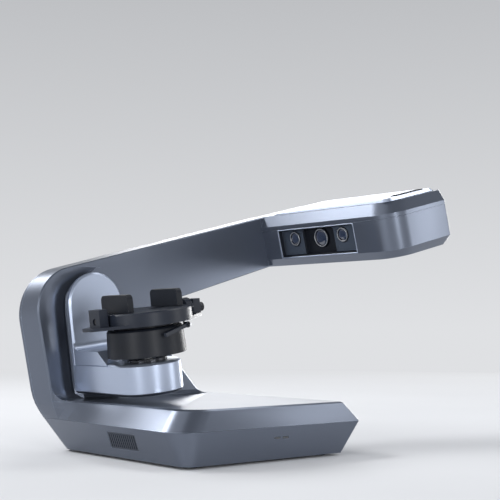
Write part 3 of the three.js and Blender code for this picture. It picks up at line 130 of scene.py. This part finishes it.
# Window rim, in silver as a painted highlight along the window's edge, in millimetres in the head's space
RIM_ACROSS = (58.8, 187.6)
RIM_UP = (0.4, 35.4)
RIM_DEPTH = (-0.15, 1.4)
RIM_WIDTH = 1.1
RIM_ROUNDING = 0.3

# Air slits and their grille, in millimetres in the head's space
SLIT_COUNT = 10
SLIT_START = 37
SLIT_PITCH = 4.4
SLIT_FROM = 20
SLIT_TO = 27
RIB_WIDTH = 1.44
RIB_RISE = 0.45
RIB_DEPTH = 2.8
GRILLE_RIM = 1
GRILLE_RISE = 0.9
GRILLE_DEPTH = 0.3

# Feet: heights and distances in from the edge, then heights and radii of the hollow, in mm
FOOT_SIDES = 48
FOOT_SOLE = ((0.9, 0.2), (0, 1), (0, 2.4), (0.5, 2.7), (0.5, 3.6), (0, 3.9))
FOOT_HOLLOW = ((0, 2), (0.4, 1.6), (0.4, 0))

# Clamp screw in millimetres, along its axis from the middle
THREAD_RADIUS = 2.95
THREAD_DEPTH = 0.45
THREAD_PITCH = 3
THREAD_STEP = 0.5
THREAD_SIDES = 20
KNOB_TEETH = 18
KNOB_RADIUS = 4.9
KNOB_GROOVE = 0.5
KNOB_LENGTH = 6
COLLAR_SPAN = (-48.6, -47)
COLLAR_SIDES = 32
SCREW_ROUNDING = 0.1
SCREW_ANGLE = 60

# Finish scales, in cells per metre, and how far the lighter edges reach: wear, and on metallic paint also a
# painted highlight
FLAKE_SCALE = 2600
GRAIN_SCALE = 1600
SPECK_SCALE = 900
RIPPLE_SCALE = 700
FROST_SCALE = 500
PEEL_SCALE = 420
SPOT_SCALE = 400
MASK_SCALE = 300
SOLDER_SCALE = 260
HAZE_SCALE = 200
TRACK_SCALE = 140
DUST_SCALE = 120
BLOOM_SCALE = 60
SMEAR_SCALE = 38
CLOUD_SCALE = 9
MARK_SCALES = (900, 900, 60)
PIPE_SCALES = (2400, 200, 200)
SOLDER_TONE = (0.62, 0.62, 0.58)
EDGE_REACH = 0.7 * MM

# The Mix node's sockets for two colours and their mixture, which go by number
MIX_SOCKETS = (6, 7)
MIX_RESULT = 2

# Camera: place in metres, angles in degrees, lens and sensor in millimetres, clips in metres
CAMERA_PLACE = (-0.7837, -0.9485, 0.1316)
CAMERA_YAW = 39.98
CAMERA_PITCH = 4.02
CAMERA_LENS = 79.69
CAMERA_SENSOR = 36
CAMERA_CLIPS = (0.05, 60)

# Studio: world tone by height above the horizon
WORLD_TONES = ((0.0, (0.74, 0.75, 0.77)), (0.7, (0.2, 0.21, 0.23)))

# Suns: watts per square metre, angle across in degrees, and where they shine from
SUNS = (("sky", 0.6, 60, (-0.55, 0.35, 1)), ("back", 0.3, 18, (0.62, 0.78, 0.36)))

# Softboxes: place, aim and size in metres, and power in watts
SOFTBOXES = (
    ("left", (-2.5, -0.75, 0.35), (-0.1, 0, 0.1), (0.5, 0.7), 22),
    ("front", (-0.6, -2.7, 0.5), (0.05, 0, 0.2), (0.35, 0.8), 26),
    ("side", (2.1, -1.85, 0.5), (0.1, -0.1, 0.22), (0.8, 0.9), 10),
    ("over", (-0.8, 1.9, 1.9), (0.05, 0, 0.25), (1.5, 0.6), 52),
    ("top", (1.3, -0.3, 2.0), (0.1, 0, 0.2), (1.0, 1.0), 12),
    ("rim", (2.6, 1.1, 0.5), (0.1, 0, 0.2), (0.5, 1.2), 24),
)

# Floor: its tone, its radius and where it fades into the distance, in metres
FLOOR_TONE = (0.68, 0.69, 0.71)
FLOOR_RADIUS = 25
FLOOR_SIDES = 64
FLOOR_FADE = (0.6, 2.2)
FLOOR_CLOUD_SCALE = 3
FLOOR_SMEAR_SCALE = 5
FLOOR_GRAIN_SCALE = 400


def make_camera():
    """The camera that was fitted to the photograph's edges and vanishing lines."""
    camera = bpy.data.objects.new("camera", bpy.data.cameras.new("camera"))
    bpy.context.scene.collection.objects.link(camera)
    camera.data.sensor_width = CAMERA_SENSOR
    camera.data.lens = CAMERA_LENS
    camera.data.clip_start, camera.data.clip_end = CAMERA_CLIPS
    camera.location = CAMERA_PLACE
    tilt = math.radians(90 + CAMERA_PITCH)
    camera.rotation_euler = (tilt, 0, -math.radians(CAMERA_YAW))
    bpy.context.scene.camera = camera


class Finish:
    """One procedural material, built on the Principled shader."""

    def __init__(self, name, **sockets):
        self.name = name
        self.material = bpy.data.materials.new(name)
        self.material.use_nodes = True
        self.tree = self.material.node_tree
        self.shader = self.tree.nodes["Principled BSDF"]
        for socket, value in sockets.items():
            self.feed(self.shader.inputs[socket.replace("_", " ")], value)
        self.place = self.add("ShaderNodeTexCoord").outputs["Object"]

    def feed(self, socket, value):
        """Gives a socket a number, a colour or another node's output."""
        if isinstance(value, bpy.types.NodeSocket):
            self.tree.links.new(value, socket)
        elif socket.type == "RGBA":
            socket.default_value = (*value, 1)
        else:
            socket.default_value = value

    def add(self, kind, inputs=None, **settings):
        """A new node with these settings, and these values or outputs on its inputs."""
        node = self.tree.nodes.new(kind)
        for setting, value in settings.items():
            setattr(node, setting, value)
        for socket, value in (inputs or {}).items():
            self.feed(node.inputs[socket], value)
        return node

    def stretched(self, scale):
        """The place on the piece, scaled unevenly along X, Y and Z."""
        inputs = {"Vector": self.place, "Scale": scale}
        return self.add("ShaderNodeMapping", inputs).outputs["Vector"]

    def noise(self, scale, detail, place=None):
        inputs = {"Vector": place or self.place, "Scale": scale, "Detail": detail}
        return self.add("ShaderNodeTexNoise", inputs).outputs["Fac"]

    def cells(self, scale):
        inputs = {"Vector": self.place, "Scale": scale}
        return self.add("ShaderNodeTexVoronoi", inputs).outputs["Distance"]

    def spread(self, value, low, high, start=0.3, end=0.7):
        """A value between start and end spread between low and high."""
        inputs = {"Value": value, "From Min": start, "From Max": end, "To Min": low, "To Max": high}
        return self.add("ShaderNodeMapRange", inputs).outputs["Result"]

    def blend(self, share, a, b):
        """Colour a where the share is 0, and colour b where it is 1."""
        mixed = {"Factor": share, MIX_SOCKETS[0]: a, MIX_SOCKETS[1]: b}
        return self.add("ShaderNodeMix", mixed, data_type="RGBA").outputs[MIX_RESULT]

    def tones(self, share, colour, dark, light):
        """A colour between two shades of itself."""
        return self.blend(share, shade(colour, dark), shade(colour, light))

    def edges(self, share):
        """The share along the rounded edges of a piece, and 0 on its faces."""
        soft = self.add("ShaderNodeBevel", {"Radius": EDGE_REACH}, samples=4)
        hard = self.add("ShaderNodeNewGeometry")
        inputs = {0: soft.outputs["Normal"], 1: hard.outputs["Normal"]}
        dot = self.add("ShaderNodeVectorMath", inputs, operation="DOT_PRODUCT")
        return self.spread(dot.outputs["Value"], low=share, high=0, start=0.86, end=0.99)

    def colour(self, value):
        self.feed(self.shader.inputs["Base Color"], value)

    def roughness(self, value):
        self.feed(self.shader.inputs["Roughness"], value)

    def bump(self, height, strength, depth):
        """Relief of a depth in metres."""
        inputs = {"Height": height, "Strength": strength, "Distance": depth}
        relief = self.add("ShaderNodeBump", inputs)
        self.feed(self.shader.inputs["Normal"], relief.outputs["Normal"])


def shade(colour, share):
    """A colour made darker or lighter, up to white."""
    return tuple(min(1.0, part * share) for part in colour)


def metallic_paint(name, colour, rough, edge_highlight_and_wear):
    """Satin metallic paint: fine flakes, faint clouds, and edges painted lighter, partly as wear and partly as a
    painted highlight.
    """
    finish = Finish(name, Metallic=0.75)
    flakes = finish.spread(finish.cells(FLAKE_SCALE), low=0, high=1, start=0.1, end=0.6)
    clouds = finish.noise(CLOUD_SCALE, detail=3)
    base = finish.tones(flakes, colour, dark=0.97, light=1.03)
    base = finish.blend(finish.spread(clouds, low=0, high=0.35), base, shade(colour, share=0.9))
    # Edges painted lighter: partly wear, partly a painted highlight along the rounded edges
    finish.colour(finish.blend(finish.edges(share=0.5), base, shade(colour, edge_highlight_and_wear)))
    finish.roughness(finish.spread(clouds, low=rough, high=rough + 0.04))
    finish.bump(finish.noise(PEEL_SCALE, detail=1), strength=0.05, depth=0.02 * MM)
    return finish


def moulded_plastic(name, colour, rough):
    """Matte moulded plastic with an eroded grain and slightly polished edges."""
    finish = Finish(name, Specular_IOR_Level=0.24)
    grain = finish.noise(GRAIN_SCALE, detail=4)
    clouds = finish.spread(finish.noise(SMEAR_SCALE, detail=3), low=0, high=1)
    base = finish.tones(clouds, colour, dark=0.88, light=1.12)
    finish.colour(finish.blend(finish.edges(share=0.45), base, shade(colour, share=1.9)))
    grained = finish.spread(grain, low=rough - 0.06, high=rough + 0.08)
    polished = {0: grained, 1: finish.edges(share=-0.16)}
    finish.roughness(finish.add("ShaderNodeMath", polished, operation="ADD").outputs["Value"])
    finish.bump(grain, strength=0.35, depth=0.06 * MM)
    return finish


def soft_rubber(name, colour):
    """Dull black rubber with dust in its pores."""
    finish = Finish(name, Specular_IOR_Level=0.3)
    dust = finish.spread(finish.noise(DUST_SCALE, detail=5), low=0, high=1)
    finish.colour(finish.tones(dust, colour, dark=1, light=1.7))
    finish.roughness(finish.spread(finish.noise(SPOT_SCALE, detail=3), low=0.7, high=0.9))
    finish.bump(finish.noise(GRAIN_SCALE, detail=3), strength=0.4, depth=0.08 * MM)
    return finish


def worked_metal(name, colour, rough):
    """Bare metal with fine tool marks along one direction."""
    finish = Finish(name, Metallic=1.0)
    marks = finish.noise(1, detail=3, place=finish.stretched(MARK_SCALES))
    clouds = finish.spread(finish.noise(BLOOM_SCALE, detail=3), low=0, high=1)
    base = finish.tones(clouds, colour, dark=0.85, light=1.1)
    finish.colour(finish.blend(finish.edges(share=0.4), base, shade(colour, share=1.4)))
    finish.roughness(finish.spread(marks, low=rough - 0.07, high=rough + 0.12))
    finish.bump(marks, strength=0.3, depth=0.02 * MM)
    return finish


def circuit_board(name, colour):
    """Green solder mask with copper lines under it and pale pads."""
    finish = Finish(name, Coat_Weight=0.5, Coat_Roughness=0.2)
    lines = {
        "Vector": finish.place,
        "Scale": TRACK_SCALE,
        "Mortar Size": 0.03,
        "Color1": colour,
        "Color2": shade(colour, share=0.8),
        "Mortar": shade(colour, share=1.7),
    }
    tracks = finish.add("ShaderNodeTexBrick", lines, offset=0.37, squash=1.8)
    pads = finish.spread(finish.cells(SOLDER_SCALE), low=1, high=0, start=0.12, end=0.16)
    finish.colour(finish.blend(pads, tracks.outputs["Color"], SOLDER_TONE))
    finish.roughness(finish.spread(finish.noise(MASK_SCALE, detail=3), low=0.3, high=0.5))
    finish.bump(tracks.outputs["Fac"], strength=0.4, depth=0.03 * MM)
    return finish


def coated_glass(name, colour, rim):
    """Dark coated lens glass that turns from blue to violet toward its rim."""
    finish = Finish(name, Coat_Weight=1.0, Coat_Roughness=0.02, Specular_IOR_Level=0.8)
    facing = finish.add("ShaderNodeLayerWeight", {"Blend": 0.35}).outputs["Facing"]
    dirt = finish.noise(SPECK_SCALE, detail=2)
    specks = finish.spread(dirt, low=0, high=0.25, start=0.66, end=0.8)
    finish.colour(finish.blend(specks, finish.blend(facing, colour, rim), shade(rim, share=2)))
    finish.roughness(finish.spread(finish.noise(HAZE_SCALE, detail=3), low=0.03, high=0.08))
    finish.bump(finish.noise(RIPPLE_SCALE, detail=2), strength=0.02, depth=0.01 * MM)
    return finish


def light_pipe(name, colour):
    """Milky light pipe, not lit."""
    finish = Finish(name, Coat_Weight=0.6, Coat_Roughness=0.08, Subsurface_Weight=0.2)
    ribs = finish.noise(1, detail=2, place=finish.stretched(PIPE_SCALES))
    shown = finish.spread(ribs, low=0, high=1)
    finish.colour(finish.blend(shown, colour, shade(colour, share=0.6)))
    finish.roughness(finish.spread(finish.noise(FROST_SCALE, detail=2), low=0.18, high=0.3))
    finish.bump(ribs, strength=0.2, depth=0.03 * MM)
    return finish


def make_finishes():
    """Every finish by its name. Colours are linear, and the last number of a paint is how much lighter its edges
    are painted, as wear and as a painted highlight.
    """
    made = (
        metallic_paint("shell_paint", (0.13, 0.149, 0.19), rough=0.28, edge_highlight_and_wear=3.0),
        metallic_paint("band_paint", (0.075, 0.087, 0.112), rough=0.34, edge_highlight_and_wear=2.2),
        metallic_paint("silver_paint", (0.4, 0.455, 0.57), rough=0.28, edge_highlight_and_wear=1.5),
        metallic_paint("pad_paint", (0.085, 0.105, 0.14), rough=0.4, edge_highlight_and_wear=1.8),
        moulded_plastic("black_plastic", (0.007, 0.009, 0.014), rough=0.42),
        moulded_plastic("tray_plastic", (0.014, 0.018, 0.028), rough=0.36),
        soft_rubber("rubber", (0.012, 0.012, 0.012)),
        worked_metal("steel", (0.5, 0.51, 0.53), rough=0.28),
        worked_metal("dark_steel", (0.045, 0.047, 0.052), rough=0.28),
        worked_metal("aluminium", (0.7, 0.71, 0.73), rough=0.34),
        worked_metal("brass", (0.62, 0.47, 0.22), rough=0.28),
        circuit_board("circuit_board", (0.015, 0.12, 0.05)),
        light_pipe("status_light", (0.05, 0.056, 0.066)),
        coated_glass("lens_glass", (0.022, 0.034, 0.062), rim=(0.02, 0.022, 0.06)),
    )
    return {finish.name: finish.material for finish in made}


FINISHES = make_finishes()


def object_of(work, name):
    """A new object in the scene with the faces of a bmesh, all shaded smooth."""
    for face in work.faces:
        face.smooth = True
    mesh = bpy.data.meshes.new(name)
    work.to_mesh(mesh)
    work.free()
    piece = bpy.data.objects.new(name, mesh)
    bpy.context.scene.collection.objects.link(piece)
    return piece


def round_edges(piece, width, keep_angle, steps):
    """Round the edges that turn by more than an angle in degrees, by a width in millimetres."""
    bevel = piece.modifiers.new("rounding", "BEVEL")
    bevel.width = width * MM
    bevel.segments = steps
    bevel.limit_method = "ANGLE"
    bevel.angle_limit = math.radians(keep_angle)
    bevel.use_clamp_overlap = True
    bevel.harden_normals = True
    bevel.miter_outer = "MITER_ARC"


def body_of(node):
    """The body that a node belongs to."""
    bodies = frame["record"]["behaviour"]["bodies"]
    return next(body for body, names in bodies.items() if node in names)


def dress(piece, body, replaced, finish):
    """Give a piece its finish, its body and the node that it stands for."""
    piece.data.materials.append(FINISHES[finish])
    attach(piece, body)
    if replaced:
        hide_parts(replaced)


def dress_casing(node, finish, rounding, keep_angle):
    """Rebuild a casing from its node, with its triangles joined into faces, and round it."""
    source = nodes[node].data
    work = bmesh.new()
    corners = [work.verts.new(vertex.co) for vertex in source.vertices]
    for face in source.polygons:
        work.faces.new([corners[i] for i in face.vertices])
    bmesh.ops.remove_doubles(work, verts=work.verts, dist=WELD)
    bmesh.ops.dissolve_limit(work, angle_limit=FLAT_ANGLE, verts=work.verts, edges=work.edges)
    piece = object_of(work, node + "_finish")
    round_edges(piece, rounding, keep_angle, CASING_STEPS)
    dress(piece, body_of(node), node, finish)


def add_piece(
    name, shape, place, finish, body="frame", replaced=None,
    rounding=FINE_ROUNDING, keep_angle=FINE_ANGLE,
):
    """A new piece from points in millimetres and faces, set in place, rounded and dressed."""
    points, faces = shape
    work = bmesh.new()
    corners = [work.verts.new(place @ (Vector(point) * MM)) for point in points]
    for face in faces:
        work.faces.new([corners[i] for i in face])
    bmesh.ops.recalc_face_normals(work, faces=work.faces)
    piece = object_of(work, name)
    round_edges(piece, rounding, keep_angle, FINE_STEPS)
    dress(piece, body, replaced, finish)


def span(node, axis):
    """Lowest and highest place of a node along an axis, in metres."""
    places = [vertex.co.dot(axis) for vertex in nodes[node].data.vertices]
    return min(places), max(places)


def middle_of(node):
    low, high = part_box(node)
    return (Vector(low) + Vector(high)) / 2


def axes_about(axis):
    """A matrix whose X is the axis, whose Y is level and whose Z is across both."""
    up = axis.cross(ACROSS).normalized()
    return Matrix((axis, up.cross(axis), up)).transposed().to_4x4()


def on_axis(node, axis):
    """A place at a node's near end with X along the axis, and the node's length in mm."""
    near, far = span(node, axis)
    middle = middle_of(node)
    start = middle + axis * (near - middle.dot(axis))
    return Matrix.Translation(start) @ axes_about(axis), (far - near) / MM


def around(radius, step, steps):
    """A point of (Y, Z) at one of the even steps round a circle."""
    turn = 2 * math.pi * step / steps
    return radius * math.cos(turn), radius * math.sin(turn)


def lathe(profile, sides, closed=False):
    """Points and faces of a profile of (along X, radius) turned about X."""
    rings = []
    points = []
    for along, radius in profile:
        count = sides if radius else 1
        rings.append(range(len(points), len(points) + count))
        points += [(along, *around(radius, k, sides)) for k in range(count)]
    faces = []
    pairs = list(zip(rings, rings[1:]))
    if closed:
        pairs.append((rings[-1], rings[0]))
    for a, b in pairs:
        for k in range(sides):
            after = (k + 1) % sides
            loop = [a[k % len(a)], a[after % len(a)], b[after % len(b)], b[k % len(b)]]
            faces.append(tuple(dict.fromkeys(loop)))
    return points, faces


def prism(outline, from_x, to_x):
    """An outline of (Y, Z) points pushed along X."""
    count = len(outline)
    points = [(x, y, z) for x in (from_x, to_x) for y, z in outline]
    faces = [tuple(range(count)), tuple(range(2 * count - 1, count - 1, -1))]
    for k in range(count):
        after = (k + 1) % count
        faces.append((k, after, after + count, k + count))
    return points, faces


def block(along, across, up):
    """A box between two values along each of X, Y and Z."""
    low, high = up
    near, far = across
    return prism([(near, low), (far, low), (far, high), (near, high)], *along)


def border(first, second, width):
    """The four strips, as pairs of spans, that make a rectangle's border."""
    near, far = first
    low, high = second
    between = (near + width, far - width)
    return (
        ((near, near + width), second),
        ((far - width, far), second),
        (between, (low, low + width)),
        (between, (high - width, high)),
    )


def joined(shapes):
    """Several shapes as one, with their faces counted on."""
    points, faces = [], []
    for some_points, some_faces in shapes:
        faces += [tuple(i + len(points) for i in face) for face in some_faces]
        points += some_points
    return points, faces


def make_lens(node):
    """Barrel with a stepped bore, a bright retaining ring and a domed coated glass."""
    place, length = on_axis(node, HEAD_AXIS)
    near, far = span(node, ACROSS)
    radius = (far - near) / MM / 2
    bore = radius - LENS_RIM
    seat = bore - LENS_STEP
    depth = 2 * LENS_STEP
    barrel = [
        (length, 0),
        (length, radius),
        (LENS_CHAMFER, radius),
        (0, radius - LENS_CHAMFER),
        (0, bore),
        (LENS_STEP, bore),
        (depth, seat),
        (depth + LENS_SEAT, seat),
        (depth + LENS_SEAT, 0),
    ]
    shape = lathe(barrel, LENS_SIDES)
    add_piece(
        node + "_barrel", shape, place, "black_plastic", replaced=node, rounding=LENS_ROUNDING
    )

    outer = bore + RING_WIDTH
    ring = [(RING_HALF, bore), (RING_HALF, outer), (-RING_HALF, outer), (-RING_HALF, bore)]
    shape = lathe(ring, LENS_SIDES, closed=True)
    add_piece(node + "_ring", shape, place, "aluminium", replaced=node)

    edge = seat - GLASS_GAP
    dome = [(depth + GLASS_THICKNESS, 0), (depth + GLASS_THICKNESS, edge)]
    for k in range(GLASS_STEPS):
        turn = math.pi / 2 * k / GLASS_STEPS
        dome.append((depth - GLASS_BULGE * radius * math.sin(turn), edge * math.cos(turn)))
    dome.append((depth - GLASS_BULGE * radius, 0))
    shape = lathe(dome, LENS_SIDES)
    add_piece(
        node + "_glass", shape, place, "lens_glass", replaced=node, rounding=GLASS_ROUNDING
    )


def plate_with_hole(across, up, thickness, radius):
    """A plate between two values along Y and Z, with a round hole about its origin."""
    corner_turns = [math.atan2(z, y) % (2 * math.pi) for y in across for z in up]
    even_turns = [2 * math.pi * k / PAD_HOLE_SIDES for k in range(PAD_HOLE_SIDES)]
    turns = sorted(even_turns + corner_turns)
    points = []
    for turn in turns:
        y, z = math.cos(turn), math.sin(turn)
        reaches = [limit / y for limit in across if limit * y > 0]
        reaches += [limit / z for limit in up if limit * z > 0]
        reach = min(reaches)
        for along in (0, thickness):
            points.append((along, radius * y, radius * z))
            points.append((along, reach * y, reach * z))
    faces = []
    count = len(turns)
    for k in range(count):
        a, b = 4 * k, 4 * ((k + 1) % count)
        faces += [
            (a, a + 1, b + 1, b),
            (a + 2, b + 2, b + 3, a + 3),
            (a + 1, a + 3, b + 3, b + 1),
            (a, b, b + 2, a + 2),
        ]
    return points, faces


def make_pads():
    """Satin plates round the two camera lenses, on the raised pads of the surround."""
    half = PAD_WIDTH / 2
    points, faces = plate_with_hole((-half, half), PAD_HEIGHTS, PAD_THICKNESS, PAD_HOLE)
    for side, shift in (("front", -PAD_SHIFT), ("back", PAD_SHIFT)):
        place, _ = on_axis("camera_lens_" + side, HEAD_AXIS)
        place = place @ Matrix.Translation((PAD_SETBACK * MM, 0, 0))
        shifted = [(x, y + shift if abs(y) > half - PAD_MARGIN else y, z) for x, y, z in points]
        add_piece(
            "camera_pad_" + side, (shifted, faces), place, "pad_paint", rounding=PAD_ROUNDING
        )


def make_window_highlight_rim(head):
    """Bright silver trim round the window, just proud of the head's face: a painted highlight along the window's
    edge.
    """
    strips = border(RIM_ACROSS, RIM_UP, RIM_WIDTH)
    shape = joined(block(RIM_DEPTH, across, up) for across, up in strips)
    add_piece("window_highlight_rim", shape, head, "silver_paint", rounding=RIM_ROUNDING)


def make_top_grille(head):
    """Dark louvre strip with a raised rim that fills the air slits in the top cover."""
    up = head.col[2].to_3d()
    _, highest = span("head_top_cover", up)
    top = (highest - Vector(HEAD_PLACE).dot(up)) / MM
    end = SLIT_START + SLIT_PITCH * SLIT_COUNT
    along = (SLIT_START - GRILLE_RIM, end + GRILLE_RIM)
    across = (SLIT_FROM - GRILLE_RIM, SLIT_TO + GRILLE_RIM)
    rim = (top - GRILLE_DEPTH, top + GRILLE_RISE)
    bars = [block(x, y, rim) for y, x in border(across, along, GRILLE_RIM)]
    for k in range(SLIT_COUNT):
        x = SLIT_START + SLIT_PITCH * (k + 0.5)
        rib = (x - RIB_WIDTH / 2, x + RIB_WIDTH / 2)
        bars.append(block(rib, (SLIT_FROM, SLIT_TO), (top - RIB_DEPTH, top + RIB_RISE)))
    add_piece("head_top_grille", joined(bars), head, "black_plastic")


def make_foot(node):
    """Round rubber foot with a raised rim and a ring groove in the sole."""
    low, high = (Vector(corner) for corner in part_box(node))
    radius = (high.x - low.x) / MM / 2
    tall = (high.z - low.z) / MM
    profile = [(tall, 0), (tall, radius)]
    profile += [(height, radius - inset) for height, inset in FOOT_SOLE]
    profile += FOOT_HOLLOW
    middle = middle_of(node)
    place = Matrix.Translation((middle.x, middle.y, low.z)) @ UPRIGHT
    add_piece(node + "_pad", lathe(profile, FOOT_SIDES), place, "rubber", replaced=node)


def threaded_rod(low, high):
    """A rod along X whose thread changes from one hand to the other at the middle."""
    rows = int((high - low) / THREAD_STEP)
    points = [(low, 0, 0)]
    for row in range(rows + 1):
        x = low + (high - low) * row / rows
        for k in range(THREAD_SIDES):
            phase = (x / THREAD_PITCH - math.copysign(1, x) * k / THREAD_SIDES) % 1
            radius = THREAD_RADIUS - THREAD_DEPTH * abs(2 * phase - 1)
            points.append((x, *around(radius, k, THREAD_SIDES)))
    points.append((high, 0, 0))
    faces = []
    last = 1 + rows * THREAD_SIDES
    for k in range(THREAD_SIDES):
        after = (k + 1) % THREAD_SIDES
        faces.append((0, 1 + after, 1 + k))
        faces.append((last + k, last + after, len(points) - 1))
        for row in range(rows):
            a, b = 1 + row * THREAD_SIDES, 1 + (row + 1) * THREAD_SIDES
            faces.append((a + k, a + after, b + after, b + k))
    return points, faces


def make_clamp_screw():
    """Threaded rod with a knurled knob at one end and a collar near the other."""
    axis = Vector(joints["clamp_turn"]["axis"])
    centre = Vector(joints["clamp_turn"]["pos_m"])
    low, high = ((place - centre.dot(axis)) / MM for place in span("clamp_screw", axis))
    knurls = [
        around(KNOB_RADIUS - KNOB_GROOVE * (k % 2), k, 2 * KNOB_TEETH)
        for k in range(2 * KNOB_TEETH)
    ]
    knob = prism(knurls, high - KNOB_LENGTH, high)
    start, end = COLLAR_SPAN
    collar = [(start, 0), (start, KNOB_RADIUS), (end, KNOB_RADIUS), (end, 0)]
    shape = joined([threaded_rod(low, high), knob, lathe(collar, COLLAR_SIDES)])
    add_piece(
        "clamp_screw_thread", shape, Matrix.Translation(centre) @ axes_about(axis), "dark_steel",
        body="clamp_screw", replaced="clamp_screw", rounding=SCREW_ROUNDING, keep_angle=SCREW_ANGLE,
    )


def finish_nodes():
    """Every model node that still shows gets the finish of its slot, or its own."""
    for part in frame["record"]["subparts"]:
        node = part["node"]
        if node not in CASINGS and node not in DETAILED:
            materials = nodes[node].data.materials
            materials.clear()
            materials.append(FINISHES[OWN_FINISH.get(node, part["material_slot"])])


def add_lamp(name, lamp, aim):
    """Put a lamp in the scene, shining along its aim."""
    item = bpy.data.objects.new(name, lamp)
    bpy.context.scene.collection.objects.link(item)
    item.rotation_euler = aim.to_track_quat("-Z", "Y").to_euler()
    return item


def make_lights():
    """Two wide suns for an even level, and softboxes that draw the edges and corners."""
    for name, strength, across, source in SUNS:
        sun = bpy.data.lights.new(name, "SUN")
        sun.energy = strength
        sun.angle = math.radians(across)
        add_lamp(name, sun, -Vector(source))
    for name, place, target, size, power in SOFTBOXES:
        softbox = bpy.data.lights.new(name, "AREA")
        softbox.shape = "RECTANGLE"
        softbox.size, softbox.size_y = size
        softbox.energy = power
        item = add_lamp(name, softbox, Vector(target) - Vector(place))
        item.location = place
        item.visible_camera = False


def make_world():
    """Pale at the horizon and darker overhead, as a plain studio is."""
    world = bpy.data.worlds.new("studio")
    bpy.context.scene.world = world
    world.use_nodes = True
    tree = world.node_tree
    coordinates = tree.nodes.new("ShaderNodeTexCoord")
    split = tree.nodes.new("ShaderNodeSeparateXYZ")
    ramp = tree.nodes.new("ShaderNodeValToRGB")
    for element, (height, colour) in zip(ramp.color_ramp.elements, WORLD_TONES):
        element.position = height
        element.color = (*colour, 1)
    tree.links.new(coordinates.outputs["Generated"], split.inputs["Vector"])
    tree.links.new(split.outputs["Z"], ramp.inputs["Fac"])
    tree.links.new(ramp.outputs["Color"], tree.nodes["Background"].inputs["Color"])


def floor_finish():
    """Matte pale floor that fades into the tone of the horizon."""
    finish = Finish("floor", Specular_IOR_Level=0.0)
    clouds = finish.spread(finish.noise(FLOOR_CLOUD_SCALE, detail=3), low=0, high=1)
    finish.colour(finish.tones(clouds, FLOOR_TONE, dark=0.97, light=1))
    smears = finish.noise(FLOOR_SMEAR_SCALE, detail=2)
    finish.roughness(finish.spread(smears, low=0.45, high=0.55))
    finish.bump(finish.noise(FLOOR_GRAIN_SCALE, detail=2), strength=0.1, depth=0.05 * MM)
    reach = finish.add("ShaderNodeVectorMath", {0: finish.place}, operation="LENGTH")
    near, far = FLOOR_FADE
    faded = finish.spread(reach.outputs["Value"], low=0, high=1, start=near, end=far)
    distance = finish.add("ShaderNodeEmission", {"Color": WORLD_TONES[0][1]})
    mixed = {0: faded, 1: finish.shader.outputs[0], 2: distance.outputs[0]}
    surface = finish.add("ShaderNodeMixShader", mixed).outputs[0]
    finish.feed(finish.tree.nodes["Material Output"].inputs["Surface"], surface)
    return finish.material


def make_floor():
    """A wide pale disc, on which the scanner stands."""
    work = bmesh.new()
    bmesh.ops.create_circle(work, cap_ends=True, segments=FLOOR_SIDES, radius=FLOOR_RADIUS)
    floor = object_of(work, "floor")
    floor.data.materials.append(floor_finish())


make_camera()
for node, looks in CASINGS.items():
    dress_casing(node, *looks)
for node in LENSES:
    make_lens(node)
make_pads()
head_space = Matrix.Translation(HEAD_PLACE) @ axes_about(HEAD_AXIS)
make_window_highlight_rim(head_space)
make_top_grille(head_space)
for node in FEET:
    make_foot(node)
make_clamp_screw()
finish_nodes()
make_lights()
make_world()
make_floor()

bpy.context.scene.view_settings.view_transform = "Standard"
